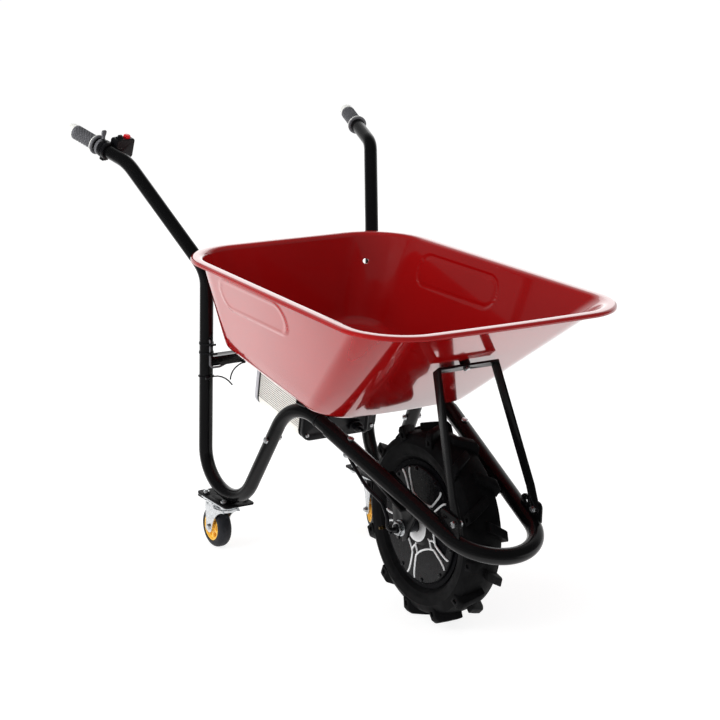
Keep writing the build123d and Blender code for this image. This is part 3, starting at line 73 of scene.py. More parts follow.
def linear(code):
    """Linear RGBA of an sRGB hex colour."""
    channels = [int(code[i : i + 2], 16) / 255 for i in (1, 3, 5)]
    return [c / 12.92 if c <= 0.04045 else ((c + 0.055) / 1.055) ** 2.4 for c in channels] + [1.0]


def colour(name, about, code):
    """A colour that a user may change, given by its sRGB hex value."""
    return bpy.props.FloatVectorProperty(
        name=name, description=about, subtype="COLOR", size=4, min=0.0, max=1.0, default=linear(code)
    )


def length(name, about, millimetres):
    """A length that a user may change, given in millimetres."""
    return bpy.props.FloatProperty(name=name, description=about, unit="LENGTH", default=millimetres * MM)


class BarrowColours(bpy.types.PropertyGroup):
    """Colours of the painted, moulded and plated parts."""

    tray: colour("Tray", "Baked enamel of the tray", "#9E080A")
    tubes: colour("Tubes", "Powder coat of the frame", "#0A0A0B")
    foot_plates: colour("Foot plates", "Paint brushed on the foot plates", "#08080A")
    zinc: colour("Zinc", "Zinc plate on bolts and castors", "#DADDDF")
    dark_steel: colour("Dark steel", "Blackened steel parts", "#3A3B3D")
    aluminium: colour("Aluminium", "Bare extruded battery case", "#FBF8F1")
    hub_lines: colour("Hub lines", "Bright lines on the hub covers", "#F4F5F6")
    casting: colour("Hub", "Paint of the cast hub", "#08080A")
    tyre: colour("Tyre", "Rubber of the tyre", "#0A0A0B")
    castor_tyre: colour("Castor tyres", "Rubber of the castor wheels", "#1E1F23")
    grip: colour("Grips", "Rubber of the grips", "#48484B")
    moulding: colour("Mouldings", "Black moulded plastic", "#0C0C0F")
    rear_cap: colour("Rear cap", "Grey moulded plastic", "#C4C4CA")
    sleeves: colour("Inner sleeves", "White plastic inside the grips", "#E4E4E0")
    castor_hub: colour("Castor hubs", "Nylon of the castor wheels", "#F4BE48")
    button: colour("Stop button", "Moulded stop button", "#D0101C")
    brass: colour("Brass", "Tarnished valve stem", "#6A5730")
    wrap: colour("Wrap", "Film round the battery cells", "#1D4FA0")
    lamination: colour("Laminations", "Stacked steel of the stator", "#8C8F93")


class BarrowSizes(bpy.types.PropertyGroup):
    """Sizes of the pieces that are modelled here."""

    sheet: length("Sheet", "Thickness of the tray's sheet", 2.0)
    rim_roll: length("Rim roll", "Radius of the tray's rolled outer edge", 4.5)
    panel_relief: length("Panel relief", "How far the stamped side panels stand out", 1.5)
    lug_round: length("Lug rounding", "Radius on the edges of the tyre's lugs", 2.2)
    edge_round: length("Edge rounding", "Radius on the edges of cut and moulded parts", 0.8)
    tie: length("Tie", "Half thickness of the cable ties", 1.7)
    knurl: length("Knurl", "Depth of the grips' knurling", 1.3)
    silver_line: length("Silver lines", "Half width of the bright lines on the hub", 2.3)


class BarrowStage(bpy.types.PropertyGroup):
    """Light, floor and camera."""

    lens: bpy.props.FloatProperty(
        name="Lens", description="Focal length on a 36 mm wide picture", unit="CAMERA", default=106.58
    )
    ambient: bpy.props.FloatProperty(name="Ambient", description="Level of the even light", default=0.55)
    lamp: bpy.props.FloatProperty(name="Lamps", description="Level of the soft lamps", default=1.0)


def add_node(tree, kind, inputs=None, **settings):
    """Adds a shader node, sets it up and links or fills its inputs."""
    node = tree.nodes.new(kind)
    for key, value in settings.items():
        setattr(node, key, value)
    for key, value in (inputs or {}).items():
        if isinstance(value, bpy.types.NodeSocket):
            tree.links.new(value, node.inputs[key])
        else:
            node.inputs[key].default_value = value
    return node


def blank_material(name):
    """A new material's empty node tree and its object coordinates."""
    material = bpy.data.materials.new(name)
    material.use_nodes = True
    tree = material.node_tree
    tree.nodes.clear()
    return tree, add_node(tree, "ShaderNodeTexCoord").outputs["Object"]


def close_material(tree, sockets):
    """Ends a material with one Principled shader."""
    shader = add_node(tree, "ShaderNodeBsdfPrincipled", sockets)
    add_node(tree, "ShaderNodeOutputMaterial", {"Surface": shader.outputs[0]})


def ranged(tree, where, size, low, high, detail=2.0):
    """A number that drifts between two values over a size in millimetres."""
    patches = {"Vector": where, "Scale": 1 / (size * MM), "Detail": detail}
    cloud = add_node(tree, "ShaderNodeTexNoise", patches).outputs[0]
    ends = {"From Min": 0.3, "From Max": 0.7, "To Min": low, "To Max": high}
    return add_node(tree, "ShaderNodeMapRange", {"Value": cloud, **ends}).outputs[0]


def varied(tree, where, base, size, low, high, detail=2.0):
    """A base colour whose lightness drifts between two factors over a size in millimetres."""
    factor = ranged(tree, where, size, low, high, detail)
    return add_node(tree, "ShaderNodeHueSaturation", {"Value": factor, "Color": base}).outputs[0]


def painted_groove_shade(tree, base, reach, closed, open_air, dark, light):
    """A base colour darkened in grooves as painted shade, by the share of the sky seen within a reach in
    millimetres.
    """
    sky = add_node(tree, "ShaderNodeAmbientOcclusion", {"Distance": reach * MM}).outputs["AO"]
    ends = {"From Min": closed, "From Max": open_air, "To Min": dark, "To Max": light}
    factor = add_node(tree, "ShaderNodeMapRange", {"Value": sky, **ends}).outputs[0]
    return add_node(tree, "ShaderNodeHueSaturation", {"Value": factor, "Color": base}).outputs[0]


def grain(tree, where, size, depth, detail=2.0):
    """A bumped normal with grains of a size and depth in millimetres."""
    grains = {"Vector": where, "Scale": 1 / (size * MM), "Detail": detail}
    cloud = add_node(tree, "ShaderNodeTexNoise", grains).outputs[0]
    relief = {"Height": cloud, "Distance": depth * MM, "Strength": 1.0}
    return add_node(tree, "ShaderNodeBump", relief).outputs[0]


def even_finish(name, base, drift, rough, bump, sockets):
    """A finish with no direction.

    drift and rough give the size in millimetres of the patches in its colour and roughness, and their two
    ends; bump gives the size and depth of its grain; a last number in any of them is the noise's detail.
    """
    tree, where = blank_material(name)
    patterns = {"Base Color": varied(tree, where, base, *drift), "Roughness": ranged(tree, where, *rough)}
    if bump:
        patterns["Normal"] = grain(tree, where, *bump)
    close_material(tree, {**patterns, **sockets})


def even_finishes(colours):
    """Makes every finish that looks the same in all directions."""
    metal = {"Metallic": 1.0}
    plastic = {"IOR": 1.53}

    # Baked enamel sprayed on pressed steel: deep colour under a hard mirror-like film with some orange peel.
    # The real peel is about 2 mm; it is drawn at 6 mm so that it shows.
    film = {"IOR": 1.6, "Coat Weight": 1.0, "Coat Roughness": 0.04, "Coat IOR": 1.7}
    even_finish("baked_red_enamel", colours.tray, (250, 0.94, 1.06), (80, 0.10, 0.16), (6, 0.012, 1.0), film)

    # Polyester powder baked on steel tube: near black, glossy, with a fine pebble that softens reflections.
    # The pebble is about 1.5 mm and is drawn at 3 mm.
    film = {"IOR": 1.5, "Specular IOR Level": 0.25}
    even_finish("black_powder_coat", colours.tubes, (120, 0.8, 1.25), (50, 0.16, 0.26), (3, 0.02, 1.0), film)

    # Electroplated zinc on steel: bright cool grey metal with faint cloudy patches left by the bath.
    even_finish("bright_zinc_plate", colours.zinc, (8, 0.86, 1.06), (5, 0.2, 0.36), (2.5, 0.012), metal)

    # Turned steel blackened in a salt bath: dark metal with a soft sheen.
    even_finish("black_oxide_steel", colours.dark_steel, (6, 0.8, 1.15), (4, 0.3, 0.42), (1.5, 0.01), metal)

    # Faces skimmed on a lathe through black paint: clean pale metal, slightly dulled by the tool.
    dulled = {"Metallic": 0.6}
    even_finish("machined_aluminium", colours.hub_lines, (5, 0.94, 1.05), (2, 0.38, 0.5), None, dulled)

    # Turned brass valve stem, tarnished: brownish yellow metal.
    even_finish("turned_brass", colours.brass, (3, 0.9, 1.05), (2, 0.25, 0.38), None, metal)

    # Vulcanised rubber from a steel mould: dull deep black with a bloom of grey and a fine skin.
    # The skin's grain is about 0.5 mm and is drawn at 1.5 mm.
    skin = {"IOR": 1.5, "Specular IOR Level": 0.06}
    bloom, sheen, bump = (25, 0.75, 1.5, 4.0), (18, 0.45, 0.62), (1.5, 0.06, 3.0)
    even_finish("moulded_tyre_rubber", colours.tyre, bloom, sheen, bump, skin)

    # Thermoplastic rubber moulded on the castor hubs: charcoal with a soft shine.
    skin = {"IOR": 1.5, "Specular IOR Level": 0.2}
    even_finish("castor_rubber", colours.castor_tyre, (10, 0.85, 1.2), (8, 0.4, 0.55), (1.2, 0.03), skin)

    # Black ABS moulding: dark plastic with a fine spark-eroded texture, about 0.3 mm and drawn at 1 mm.
    skin = {"IOR": 1.53, "Specular IOR Level": 0.25}
    even_finish("black_moulding", colours.moulding, (20, 0.85, 1.2), (5, 0.3, 0.42), (1, 0.03), skin)

    # Grey ABS end cap: even light grey plastic with a fine moulded texture.
    even_finish("grey_moulding", colours.rear_cap, (25, 0.94, 1.05), (6, 0.36, 0.48), (1, 0.03), plastic)

    # Moulded nylon castor hub: saturated amber yellow with a soft shine.
    even_finish("yellow_nylon", colours.castor_hub, (12, 0.92, 1.06), (5, 0.3, 0.42), (1.2, 0.02), plastic)

    # Red ABS stop button: bright glossy plastic.
    even_finish("red_moulding", colours.button, (5, 0.94, 1.05), (3, 0.16, 0.26), None, plastic)

    # Blue PVC shrink film over the cells: thin, glossy and slightly puckered.
    even_finish("shrink_wrap", colours.wrap, (15, 0.9, 1.08), (8, 0.2, 0.34), (12, 0.3), plastic)

    # Natural polythene: waxy translucent white.
    depth = 4 * MM
    waxy = {"IOR": 1.51, "Subsurface Weight": 0.4, "Subsurface Scale": 1.0, "Subsurface Radius": (depth,) * 3}
    even_finish("milky_polythene", colours.sleeves, (10, 0.95, 1.03), (5, 0.35, 0.5), None, waxy)


def brushed_on_black(colours):
    # Black paint brushed on the foot plates after welding: dull, with slight ridges left by the brush.
    tree, where = blank_material("brushed_on_black")
    strokes = add_node(tree, "ShaderNodeMapping", {"Vector": where, "Scale": (0.2, 1.0, 1.0)}).outputs[0]
    sockets = {
        "Base Color": varied(tree, where, colours.foot_plates, 20, 0.8, 1.3),
        "Roughness": ranged(tree, strokes, 3, 0.5, 0.66),
        "IOR": 1.5,
        "Specular IOR Level": 0.15,
        "Normal": grain(tree, strokes, 3, 0.05),
    }
    close_material(tree, sockets)


def extruded_aluminium(colours):
    # Bare extruded aluminium with a chalky etched skin: almost white, with fine drawn lines along its length,
    # and painted shade in the slots between its fins.
    # The lines are about 0.2 mm apart and are drawn 1.5 mm apart.
    tree, where = blank_material("extruded_aluminium")
    drawn = add_node(tree, "ShaderNodeMapping", {"Vector": where, "Scale": (0.02, 1.0, 1.0)}).outputs[0]
    metal = varied(tree, drawn, colours.aluminium, 3, 0.96, 1.04)
    sockets = {
        # Painted shade: the base colour darkens in the slots between the fins.
        "Base Color": painted_groove_shade(tree, metal, 5, 0.45, 0.95, 0.35, 1.0),
        "Metallic": 0.2,
        "Roughness": ranged(tree, drawn, 1.5, 0.3, 0.42),
        "Normal": grain(tree, drawn, 1.5, 0.02),
    }
    close_material(tree, sockets)


def painted_casting(colours):
    # Die-cast aluminium under black stove paint: satin black with a slight cast skin. The windows between the
    # spokes, which lie 3 mm below the covers' faces, reflect less than the spokes, as painted shade.
    tree, where = blank_material("painted_casting")
    across = add_node(tree, "ShaderNodeSeparateXYZ", {0: where}).outputs["Y"]
    outward = add_node(tree, "ShaderNodeMath", {0: across}, operation="ABSOLUTE").outputs[0]
    ends = {"From Min": 38.5 * MM, "From Max": 40.5 * MM, "To Min": 0.02, "To Max": 0.14}
    sockets = {
        "Base Color": varied(tree, where, colours.casting, 30, 0.8, 1.3),
        "Roughness": ranged(tree, where, 12, 0.2, 0.32),
        "IOR": 1.5,
        # Painted shade: the windows reflect less than the spokes' faces.
        "Specular IOR Level": add_node(tree, "ShaderNodeMapRange", {"Value": outward, **ends}).outputs[0],
        "Normal": grain(tree, where, 2, 0.008),
    }
    close_material(tree, sockets)


def grip_rubber(colours):
    # Soft moulded grip rubber: matt dark grey, with painted highlight on its raised points
    # and painted shade in its grooves.
    tree, where = blank_material("grip_rubber")
    rubber = varied(tree, where, colours.grip, 6, 0.85, 1.25)
    sockets = {
        # Painted shade in the grooves and painted highlight on the raised points of the knurl.
        "Base Color": painted_groove_shade(tree, rubber, 4, 0.7, 1.0, 0.15, 1.7),
        "Roughness": ranged(tree, where, 6, 0.4, 0.55),
        "IOR": 1.5,
        "Normal": grain(tree, where, 1.2, 0.05),
    }
    close_material(tree, sockets)


def stacked_laminations(colours):
    # Stamped electrical steel, stacked: grey metal with fine lines across the axle.
    # The lines are about 0.5 mm apart and are drawn 2 mm apart.
    tree, where = blank_material("stacked_laminations")
    stack = add_node(tree, "ShaderNodeMapping", {"Vector": where, "Scale": (0.05, 1.0, 0.05)}).outputs[0]
    sockets = {
        "Base Color": varied(tree, stack, colours.lamination, 2, 0.8, 1.08),
        "Metallic": 1.0,
        "Roughness": ranged(tree, stack, 2, 0.35, 0.5),
        "Normal": grain(tree, stack, 2, 0.05),
    }
    close_material(tree, sockets)


# The finishes that follow a direction or a part's form
uneven_finishes = (brushed_on_black, extruded_aluminium, painted_casting, grip_rubber, stacked_laminations)

# Which finish each of the record's material slots takes, and the parts that take another one
node_finishes = {
    "foot_plates": "brushed_on_black",
    "right_castor_tyre": "castor_rubber",
    "left_castor_tyre": "castor_rubber",
    "battery_gaskets": "moulded_tyre_rubber",
    "battery_cap_screws": "bright_zinc_plate",
    "motor_cable": "black_moulding",
}
slot_finishes = {
    "red_paint": "baked_red_enamel",
    "black_paint": "black_powder_coat",
    "zinc": "bright_zinc_plate",
    "dark_steel": "black_oxide_steel",
    "case_aluminium": "extruded_aluminium",
    "black_cast": "painted_casting",
    "lamination": "stacked_laminations",
    "tyre_rubber": "moulded_tyre_rubber",
    "black_rubber": "grip_rubber",
    "black_plastic": "black_moulding",
    "grey_plastic": "grey_moulding",
    "white_plastic": "milky_polythene",
    "yellow_plastic": "yellow_nylon",
    "red_plastic": "red_moulding",
    "brass": "turned_brass",
    "blue_wrap": "shrink_wrap",
}

node_slots = {part["node"]: part["material_slot"] for part in frame["record"]["subparts"]}
node_bodies = {node: body for body, nodes in frame["record"]["behaviour"]["bodies"].items() for node in nodes}

# Parts whose sharp edges are rounded, and how much of the common radius each takes
edged_nodes = {
    "right_castor_fork": 1.0,
    "left_castor_fork": 1.0,
    "right_castor_plate": 1.0,
    "left_castor_plate": 1.0,
    "right_castor_hub": 1.0,
    "left_castor_hub": 1.0,
    "right_brake_pedal": 0.8,
    "left_brake_pedal": 0.8,
    "foot_plates": 1.0,
    "rear_cross_member": 1.0,
    "front_cross_bar": 1.0,
    "strut": 1.0,
    "strut_brackets": 1.0,
    "right_dropout": 1.0,
    "left_dropout": 1.0,
    "battery_front_cap": 1.0,
    "battery_rear_cap": 1.0,
    "power_connector": 1.0,
    "switch_housing": 1.0,
    "rocker_switch": 0.8,
    "throttle_clamp": 1.0,
    "frame_bolts": 0.6,
    "strut_bolts": 0.6,
    "castor_bolts": 0.6,
    "tray_bolts": 0.6,
    "axle_fasteners": 0.8,
    "right_castor_axle": 0.6,
    "left_castor_axle": 0.6,
}


def leave():
    """Closes the open mesh."""
    bpy.ops.object.mode_set(mode="OBJECT")


def settle():
    """Leaves the active piece's place, turn and scale in its mesh."""
    bpy.ops.object.transform_apply(location=True, rotation=True, scale=True)


def clear_choice():
    """Leaves nothing selected, in object mode."""
    if bpy.context.object and bpy.context.object.mode != "OBJECT":
        leave()
    bpy.ops.object.select_all(action="DESELECT")


def take(piece):
    """Makes one piece the only selected one and the active one, in object mode."""
    clear_choice()
    piece.select_set(True)
    bpy.context.view_layer.objects.active = piece


def edit(piece):
    """Opens one piece in edit mode with nothing chosen in it."""
    take(piece)
    bpy.ops.object.mode_set(mode="EDIT")
    bpy.ops.mesh.select_all(action="DESELECT")


def choose(test, kind="VERT"):
    """Chooses the points, edges or faces of the open mesh that pass a test."""
    bpy.ops.mesh.select_mode(type=kind)
    bpy.ops.mesh.select_all(action="DESELECT")
    mesh = bmesh.from_edit_mesh(bpy.context.edit_object.data)
    for part in {"VERT": mesh.verts, "EDGE": mesh.edges, "FACE": mesh.faces}[kind]:
        if test(part):
            part.select_set(True)
    mesh.select_flush_mode()
    bmesh.update_edit_mesh(bpy.context.edit_object.data)


def choose_all():
    """Chooses everything in the open mesh."""
    bpy.ops.mesh.select_all(action="SELECT")


def extrude(step):
    """Pulls new faces out of the chosen ones by a step."""
    bpy.ops.mesh.extrude_region_move(TRANSFORM_OT_translate={"value": step})


def merge_points():
    """Merges the open mesh's points that coincide and turns its faces outwards."""
    choose_all()
    bpy.ops.mesh.remove_doubles(threshold=0.02 * MM)
    bpy.ops.mesh.normals_make_consistent(inside=False)


def edge_middle(edge):
    """The point halfway along an edge."""
    return (edge.verts[0].co + edge.verts[1].co) / 2


def edge_rise(edge):
    """How far apart in height an edge's ends are."""
    return abs(edge.verts[0].co.z - edge.verts[1].co.z)


def block(*sides):
    """A new box round the origin, with sides in millimetres."""
    clear_choice()
    bpy.ops.mesh.primitive_cube_add(size=1, location=(0, 0, 0))
    piece = bpy.context.object
    piece.scale = [side * MM for side in sides]
    settle()
    return piece


def traced(points):
    """A new piece that is one line, drawn by extruding a point from place to place."""
    clear_choice()
    bpy.ops.mesh.primitive_plane_add(size=MM, location=points[0])
    settle()
    piece = bpy.context.object
    edit(piece)
    bpy.ops.mesh.select_mode(type="VERT")
    choose_all()
    bpy.ops.mesh.merge(type="CENTER")
    for start, end in zip(points, points[1:]):
        extrude(Vector(end) - Vector(start))
    leave()
    return piece


def spun(points, steps, centre=(0, 0, 0), axis=(0, 0, 1)):
    """A turned piece: a traced line spun once round an axis and closed."""
    piece = traced(points)
    edit(piece)
    choose_all()
    bpy.ops.mesh.spin(steps=steps, angle=2 * math.pi, center=centre, axis=axis)
    merge_points()
    leave()
    return piece


def turned(profile, steps):
    """A piece turned about the Z axis from radii and heights in millimetres."""
    return spun([(r * MM, 0, z * MM) for r, z in profile], steps)


def wired(points, radius, fineness, closed=False):
    """A round wire along a line of points."""
    piece = traced(points)
    if closed:
        edit(piece)
        choose(lambda v: len(v.link_edges) == 1)
        bpy.ops.mesh.edge_face_add()
        leave()
    bpy.ops.object.convert(target="CURVE")
    piece.data.bevel_depth = radius
    piece.data.bevel_resolution = fineness
    piece.data.use_fill_caps = True
    bpy.ops.object.convert(target="MESH")
    return bpy.context.object


def apply_modifier(piece, kind, **settings):
    """Adds one modifier to a piece and applies it."""
    take(piece)
    added = piece.modifiers.new(kind.lower(), kind)
    for key, value in settings.items():
        setattr(added, key, value)
    bpy.ops.object.modifier_apply(modifier=added.name)


def move(piece, matrix):
    """Puts a piece where a matrix says and leaves its place in its mesh."""
    take(piece)
    piece.matrix_world = matrix @ piece.matrix_world
    settle()


def copied(piece, matrix):
    """A copy of a piece, with its own mesh, put where a matrix says."""
    twin = piece.copy()
    twin.data = piece.data.copy()
    bpy.context.collection.objects.link(twin)
    move(twin, matrix)
    if matrix.determinant() < 0:
        edit(twin)
        choose_all()
        bpy.ops.mesh.flip_normals()
        leave()
    return twin


def joined(pieces):
    """One piece made of several."""
    clear_choice()
    for piece in pieces:
        piece.select_set(True)
    bpy.context.view_layer.objects.active = pieces[0]
    bpy.ops.object.join()
    return bpy.context.object


def axes(across, up, ahead, origin):
    """A matrix from three axes and an origin."""
    matrix = Matrix((across, up, ahead)).transposed().to_4x4()
    matrix.translation = origin
    return matrix


def dress(piece, name, finish, body, replaced=(), angle=35):
    """Names a finished piece, gives it its finish and sets it on its body."""
    take(piece)
    settle()
    bpy.ops.object.shade_smooth_by_angle(angle=math.radians(angle))
    piece.name = name
    piece.data.name = name
    piece.data.materials.clear()
    piece.data.materials.append(bpy.data.materials[finish])
    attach(piece, body)
    if replaced:
        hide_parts(*replaced)


def finish_of(node):
    """The name of the finish that one part of the frame takes."""
    return node_finishes.get(node, slot_finishes[node_slots[node]])


class BARROW_OT_finishes(bpy.types.Operator):
    """Makes every finish and gives each part of the frame the one that its record names."""

    bl_idname = "barrow.finishes"
    bl_label = "Finishes"

    def execute(self, context):
        colours = context.scene.barrow_colours
        even_finishes(colours)
        for maker in uneven_finishes:
            maker(colours)
        for node in node_slots:
            piece = frame["nodes"][node]
            piece.data.materials.clear()
            piece.data.materials.append(bpy.data.materials[finish_of(node)])
        return {"FINISHED"}


class BARROW_OT_edges(bpy.types.Operator):
    """Rounds the sharp edges of the cut, pressed and moulded parts."""

    bl_idname = "barrow.edges"
    bl_label = "Soft edges"

    def execute(self, context):
        radius = context.scene.barrow_sizes.edge_round
        for node, factor in edged_nodes.items():
            clear_choice()
            piece = bpy.data.objects.new(node, frame["nodes"][node].data.copy())
            context.collection.objects.link(piece)
            edit(piece)
            choose_all()
            bpy.ops.mesh.remove_doubles(threshold=0.005 * MM)
            bpy.ops.mesh.dissolve_limited(angle_limit=math.radians(0.5))
            bpy.ops.mesh.normals_make_consistent(inside=False)
            leave()
            bevel = {"width": radius * factor, "segments": 2, "limit_method": "ANGLE"}
            apply_modifier(piece, "BEVEL", angle_limit=math.radians(40), **bevel)
            dress(piece, f"edged_{node}", finish_of(node), node_bodies[node], (node,))
        return {"FINISHED"}


# The tray in millimetres from the axle, the middle and the ground
tray_floor = dict(rear=-612, front=-143, rear_half=211, front_half=203, rear_r=75, front_r=75, bow=10)
floor_heights = dict(rear_z=500, front_z=428)
tray_mouth = dict(rear=-634, front=233, rear_half=282, front_half=307, rear_r=125, front_r=108, bow=8.5)
tray_top = 716
flange_width, flange_drop = 25, 7
mouth_bend, floor_bend = 7, 20
hole_x, hole_y, hole_z, hole_r = -626, 200, 648, 6.5
panel_x, panel_z, panel_length, panel_height = -332, 650.5, 308, 80
panel_band, panel_slope = 9, 3.5


def tray_loop(rear, front, rear_half, front_half, rear_r, front_r, bow, rear_z, front_z):
    """A tray outline as a closed line: a plane with its corners dragged out, rounded and divided."""
    corner_steps, side_cuts, end_cuts, bow_power = 16, 219, 35, 8
    clear_choice()
    bpy.ops.mesh.primitive_plane_add(size=2, location=(0, 0, 0))
    piece = bpy.context.object
    edit(piece)
    for along, x, half, z in ((-1, rear, rear_half, rear_z), (1, front, front_half, front_z)):
        for side in (-1, 1):
            corner = Vector((along, side, 0))
            choose(lambda v: (v.co - corner).length < 0.01)
            bpy.ops.transform.translate(value=from_axle(x, side * half, z) - corner)
    middle_x = from_axle((rear + front) / 2, 0, 0).x
    front_x = from_axle(front, 0, 0).x
    for test, radius in ((lambda v: v.co.x < middle_x, rear_r), (lambda v: v.co.x > front_x - MM, front_r)):
        choose(test)
        bpy.ops.mesh.bevel(offset=radius * MM, segments=corner_steps, profile=0.5, affect="VERTICES")
    choose(lambda f: True, "FACE")
    bpy.ops.mesh.delete(type="ONLY_FACE")
    long_edge = 150 * MM

    def is_side(edge):
        reach = edge.calc_length()
        return reach > long_edge and abs(edge.verts[0].co.y - edge.verts[1].co.y) < 0.5 * reach

    choose(is_side, "EDGE")
    bpy.ops.mesh.subdivide(number_cuts=side_cuts)
    choose(lambda e: e.calc_length() > long_edge / 2, "EDGE")
    bpy.ops.mesh.subdivide(number_cuts=end_cuts)
    mesh = bmesh.from_edit_mesh(piece.data)
    for v in mesh.verts:
        across = abs(v.co.y) / (front_half * MM)
        if v.co.x > middle_x and across < 1:
            ahead = (v.co.x - middle_x) / (front_x - middle_x)
            push = bow * MM * (1 - across**2) * max(0.0, ahead) ** bow_power
            v.co.x += push
            v.co.z += push * (front_z - rear_z) / (front - rear)
    bmesh.update_edit_mesh(piece.data)
    leave()
    return piece


def eased(share):
    """A share held between 0 and 1 and eased at both ends."""
    share = min(1.0, max(0.0, share))
    return share * share * (3 - 2 * share)


def panel_rise(x, z):
    """How far a stamped side panel stands out, from 0 to 1: a raised band round a slightly lower field."""
    centre = from_axle(panel_x, 0, panel_z)
    straight = (panel_length - panel_height) / 2 * MM
    across = max(0.0, abs(x - centre.x) - straight)
    inside = panel_height / 2 * MM - math.hypot(across, z - centre.z)
    slope = panel_slope * MM
    return eased(inside / slope) - 0.5 * eased((inside - panel_band * MM) / slope)


class BARROW_OT_tray(bpy.types.Operator):
    """Draws the pressed tray: floor, flared walls, stamped side panels, rolled rim and rear holes."""

    bl_idname = "barrow.tray"
    bl_label = "Tray"

    def execute(self, context):
        sizes = context.scene.barrow_sizes
        sheet = sizes.sheet / MM
        lip_z = tray_top - sheet
        rim_z = lip_z + 0.1
        out = flange_width - sheet
        tray_rim = {key: value + out for key, value in tray_mouth.items()}
        tray_rim.update(rear=tray_mouth["rear"] - out, bow=tray_mouth["bow"])
        floor_loop = tray_loop(**tray_floor, **floor_heights)
        mouth_loop = tray_loop(**tray_mouth, rear_z=lip_z, front_z=lip_z)
        rim_loop = tray_loop(**tray_rim, rear_z=rim_z, front_z=rim_z)
        tray = joined([floor_loop, mouth_loop, rim_loop])
        edit(tray)
        floor_end = from_axle(tray_floor["front"], 0, floor_heights["front_z"])
        floor_fall = floor_heights["rear_z"] - floor_heights["front_z"]
        floor_slope = floor_fall / (tray_floor["front"] - tray_floor["rear"])

        def on_floor(edge):
            gaps = [v.co.z - floor_end.z + (v.co.x - floor_end.x) * floor_slope for v in edge.verts]
            return all(abs(gap) < 0.1 * MM for gap in gaps)

        def level_at(z):
            return lambda edge: all(abs(v.co.z - z * MM) < 0.02 * MM for v in edge.verts)

        on_mouth, on_rim = level_at(lip_z), level_at(rim_z)
        for lower, upper in ((on_floor, on_mouth), (on_mouth, on_rim)):
            choose(lambda e: lower(e) or upper(e), "EDGE")
            bpy.ops.mesh.bridge_edge_loops()
        choose(on_floor, "EDGE")
        bpy.ops.mesh.edge_face_add()
        choose_all()
        bpy.ops.mesh.normals_make_consistent(inside=False)
        mesh = bmesh.from_edit_mesh(tray.data)
        if max(mesh.faces, key=lambda f: f.calc_area()).normal.z > 0:
            bpy.ops.mesh.flip_normals()
        choose(on_rim, "EDGE")
        bpy.ops.mesh.extrude_edges_move(TRANSFORM_OT_translate={"value": (0, 0, -flange_drop * MM)})
        bends = ((on_rim, sizes.rim_roll, 4), (on_mouth, mouth_bend * MM, 5), (on_floor, floor_bend * MM, 7))
        for bend, radius, steps in bends:
            choose(bend, "EDGE")
            bpy.ops.mesh.bevel(offset=radius, segments=steps, profile=0.5, affect="EDGES")
        # The walls are halved, then the upper half, which holds the panels, is divided finely.
        whole, half, panel_foot = 120 * MM, 50 * MM, 620 * MM
        divisions = (
            (lambda e: edge_rise(e) > whole, 1),
            (lambda e: edge_rise(e) > half and edge_middle(e).z > panel_foot, 45),
            (lambda e: edge_rise(e) > half, 3),
        )
        for test, cuts in divisions:
            choose(test, "EDGE")
            bpy.ops.mesh.subdivide(number_cuts=cuts)
        wall_y = 180 * MM
        mesh = bmesh.from_edit_mesh(tray.data)
        for v in mesh.verts:
            if abs(v.co.y) > wall_y:
                v.co.y += math.copysign(sizes.panel_relief * panel_rise(v.co.x, v.co.z), v.co.y)
        bmesh.update_edit_mesh(tray.data)
        clear_choice()
        apply_modifier(tray, "SOLIDIFY", thickness=sizes.sheet, offset=-1.0)
        drills = []
        for side in (-1, 1):
            clear_choice()
            bpy.ops.mesh.primitive_cylinder_add(
                vertices=32,
                radius=hole_r * MM,
                depth=60 * MM,
                location=from_axle(hole_x, side * hole_y, hole_z),
                rotation=(0, math.pi / 2, 0),
            )
            drills.append(bpy.context.object)
        drill = joined(drills)
        apply_modifier(tray, "BOOLEAN", object=drill, operation="DIFFERENCE", solver="EXACT")
        bpy.data.objects.remove(drill)
        dress(tray, "pressed_tray", "baked_red_enamel", "frame", ("tray",), 40)
        return {"FINISHED"}


def arc_points(first, middle, last, steps):
    """Points on the circle through three points of a profile."""
    (ax, ay), (bx, by), (cx, cy) = first, middle, last
    d = 2 * (ax * (by - cy) + bx * (cy - ay) + cx * (ay - by))
    ux = ((ax**2 + ay**2) * (by - cy) + (bx**2 + by**2) * (cy - ay) + (cx**2 + cy**2) * (ay - by)) / d
    uy = ((ax**2 + ay**2) * (cx - bx) + (bx**2 + by**2) * (ax - cx) + (cx**2 + cy**2) * (bx - ax)) / d
    r = math.hypot(ax - ux, ay - uy)
    start = math.atan2(ay - uy, ax - ux)
    via = (math.atan2(by - uy, bx - ux) - start) % (2 * math.pi)
    sweep = (math.atan2(cy - uy, cx - ux) - start) % (2 * math.pi)
    if via > sweep:
        sweep -= 2 * math.pi
    turns = [start + sweep * i / steps for i in range(steps + 1)]
    return [(ux + r * math.cos(turn), uy + r * math.sin(turn)) for turn in turns]


def tyre_carcass():
    """The tyre without its lugs: a hollow ring whose sidewalls carry two low ribs."""
    shoulder_r, shoulder_half, crown_r = 196, 36, 202
    rib_bands, rib_height = ((148, 152), (176, 179)), 1.2
    outside = [(137, 22), (137, 31)]
    for r, y in arc_points((142, 31), (169, 46), (shoulder_r, shoulder_half), 14):
        ribbed = any(low < r < high for low, high in rib_bands)
        outside.append((r, y + rib_height if ribbed else y))
    crown = arc_points((shoulder_r, shoulder_half), (crown_r, 0), (shoulder_r, -shoulder_half), 12)
    inside = [(150, -20), (185, -26), (192, 0), (185, 26), (150, 20), (137, 22)]
    profile = outside + crown[1:-1] + [(r, -y) for r, y in reversed(outside)] + inside
    centre = from_axle(0, 0, wheel_r)
    return spun([centre + Vector((0, y * MM, r * MM)) for r, y in profile], 144, centre, (0, 1, 0))


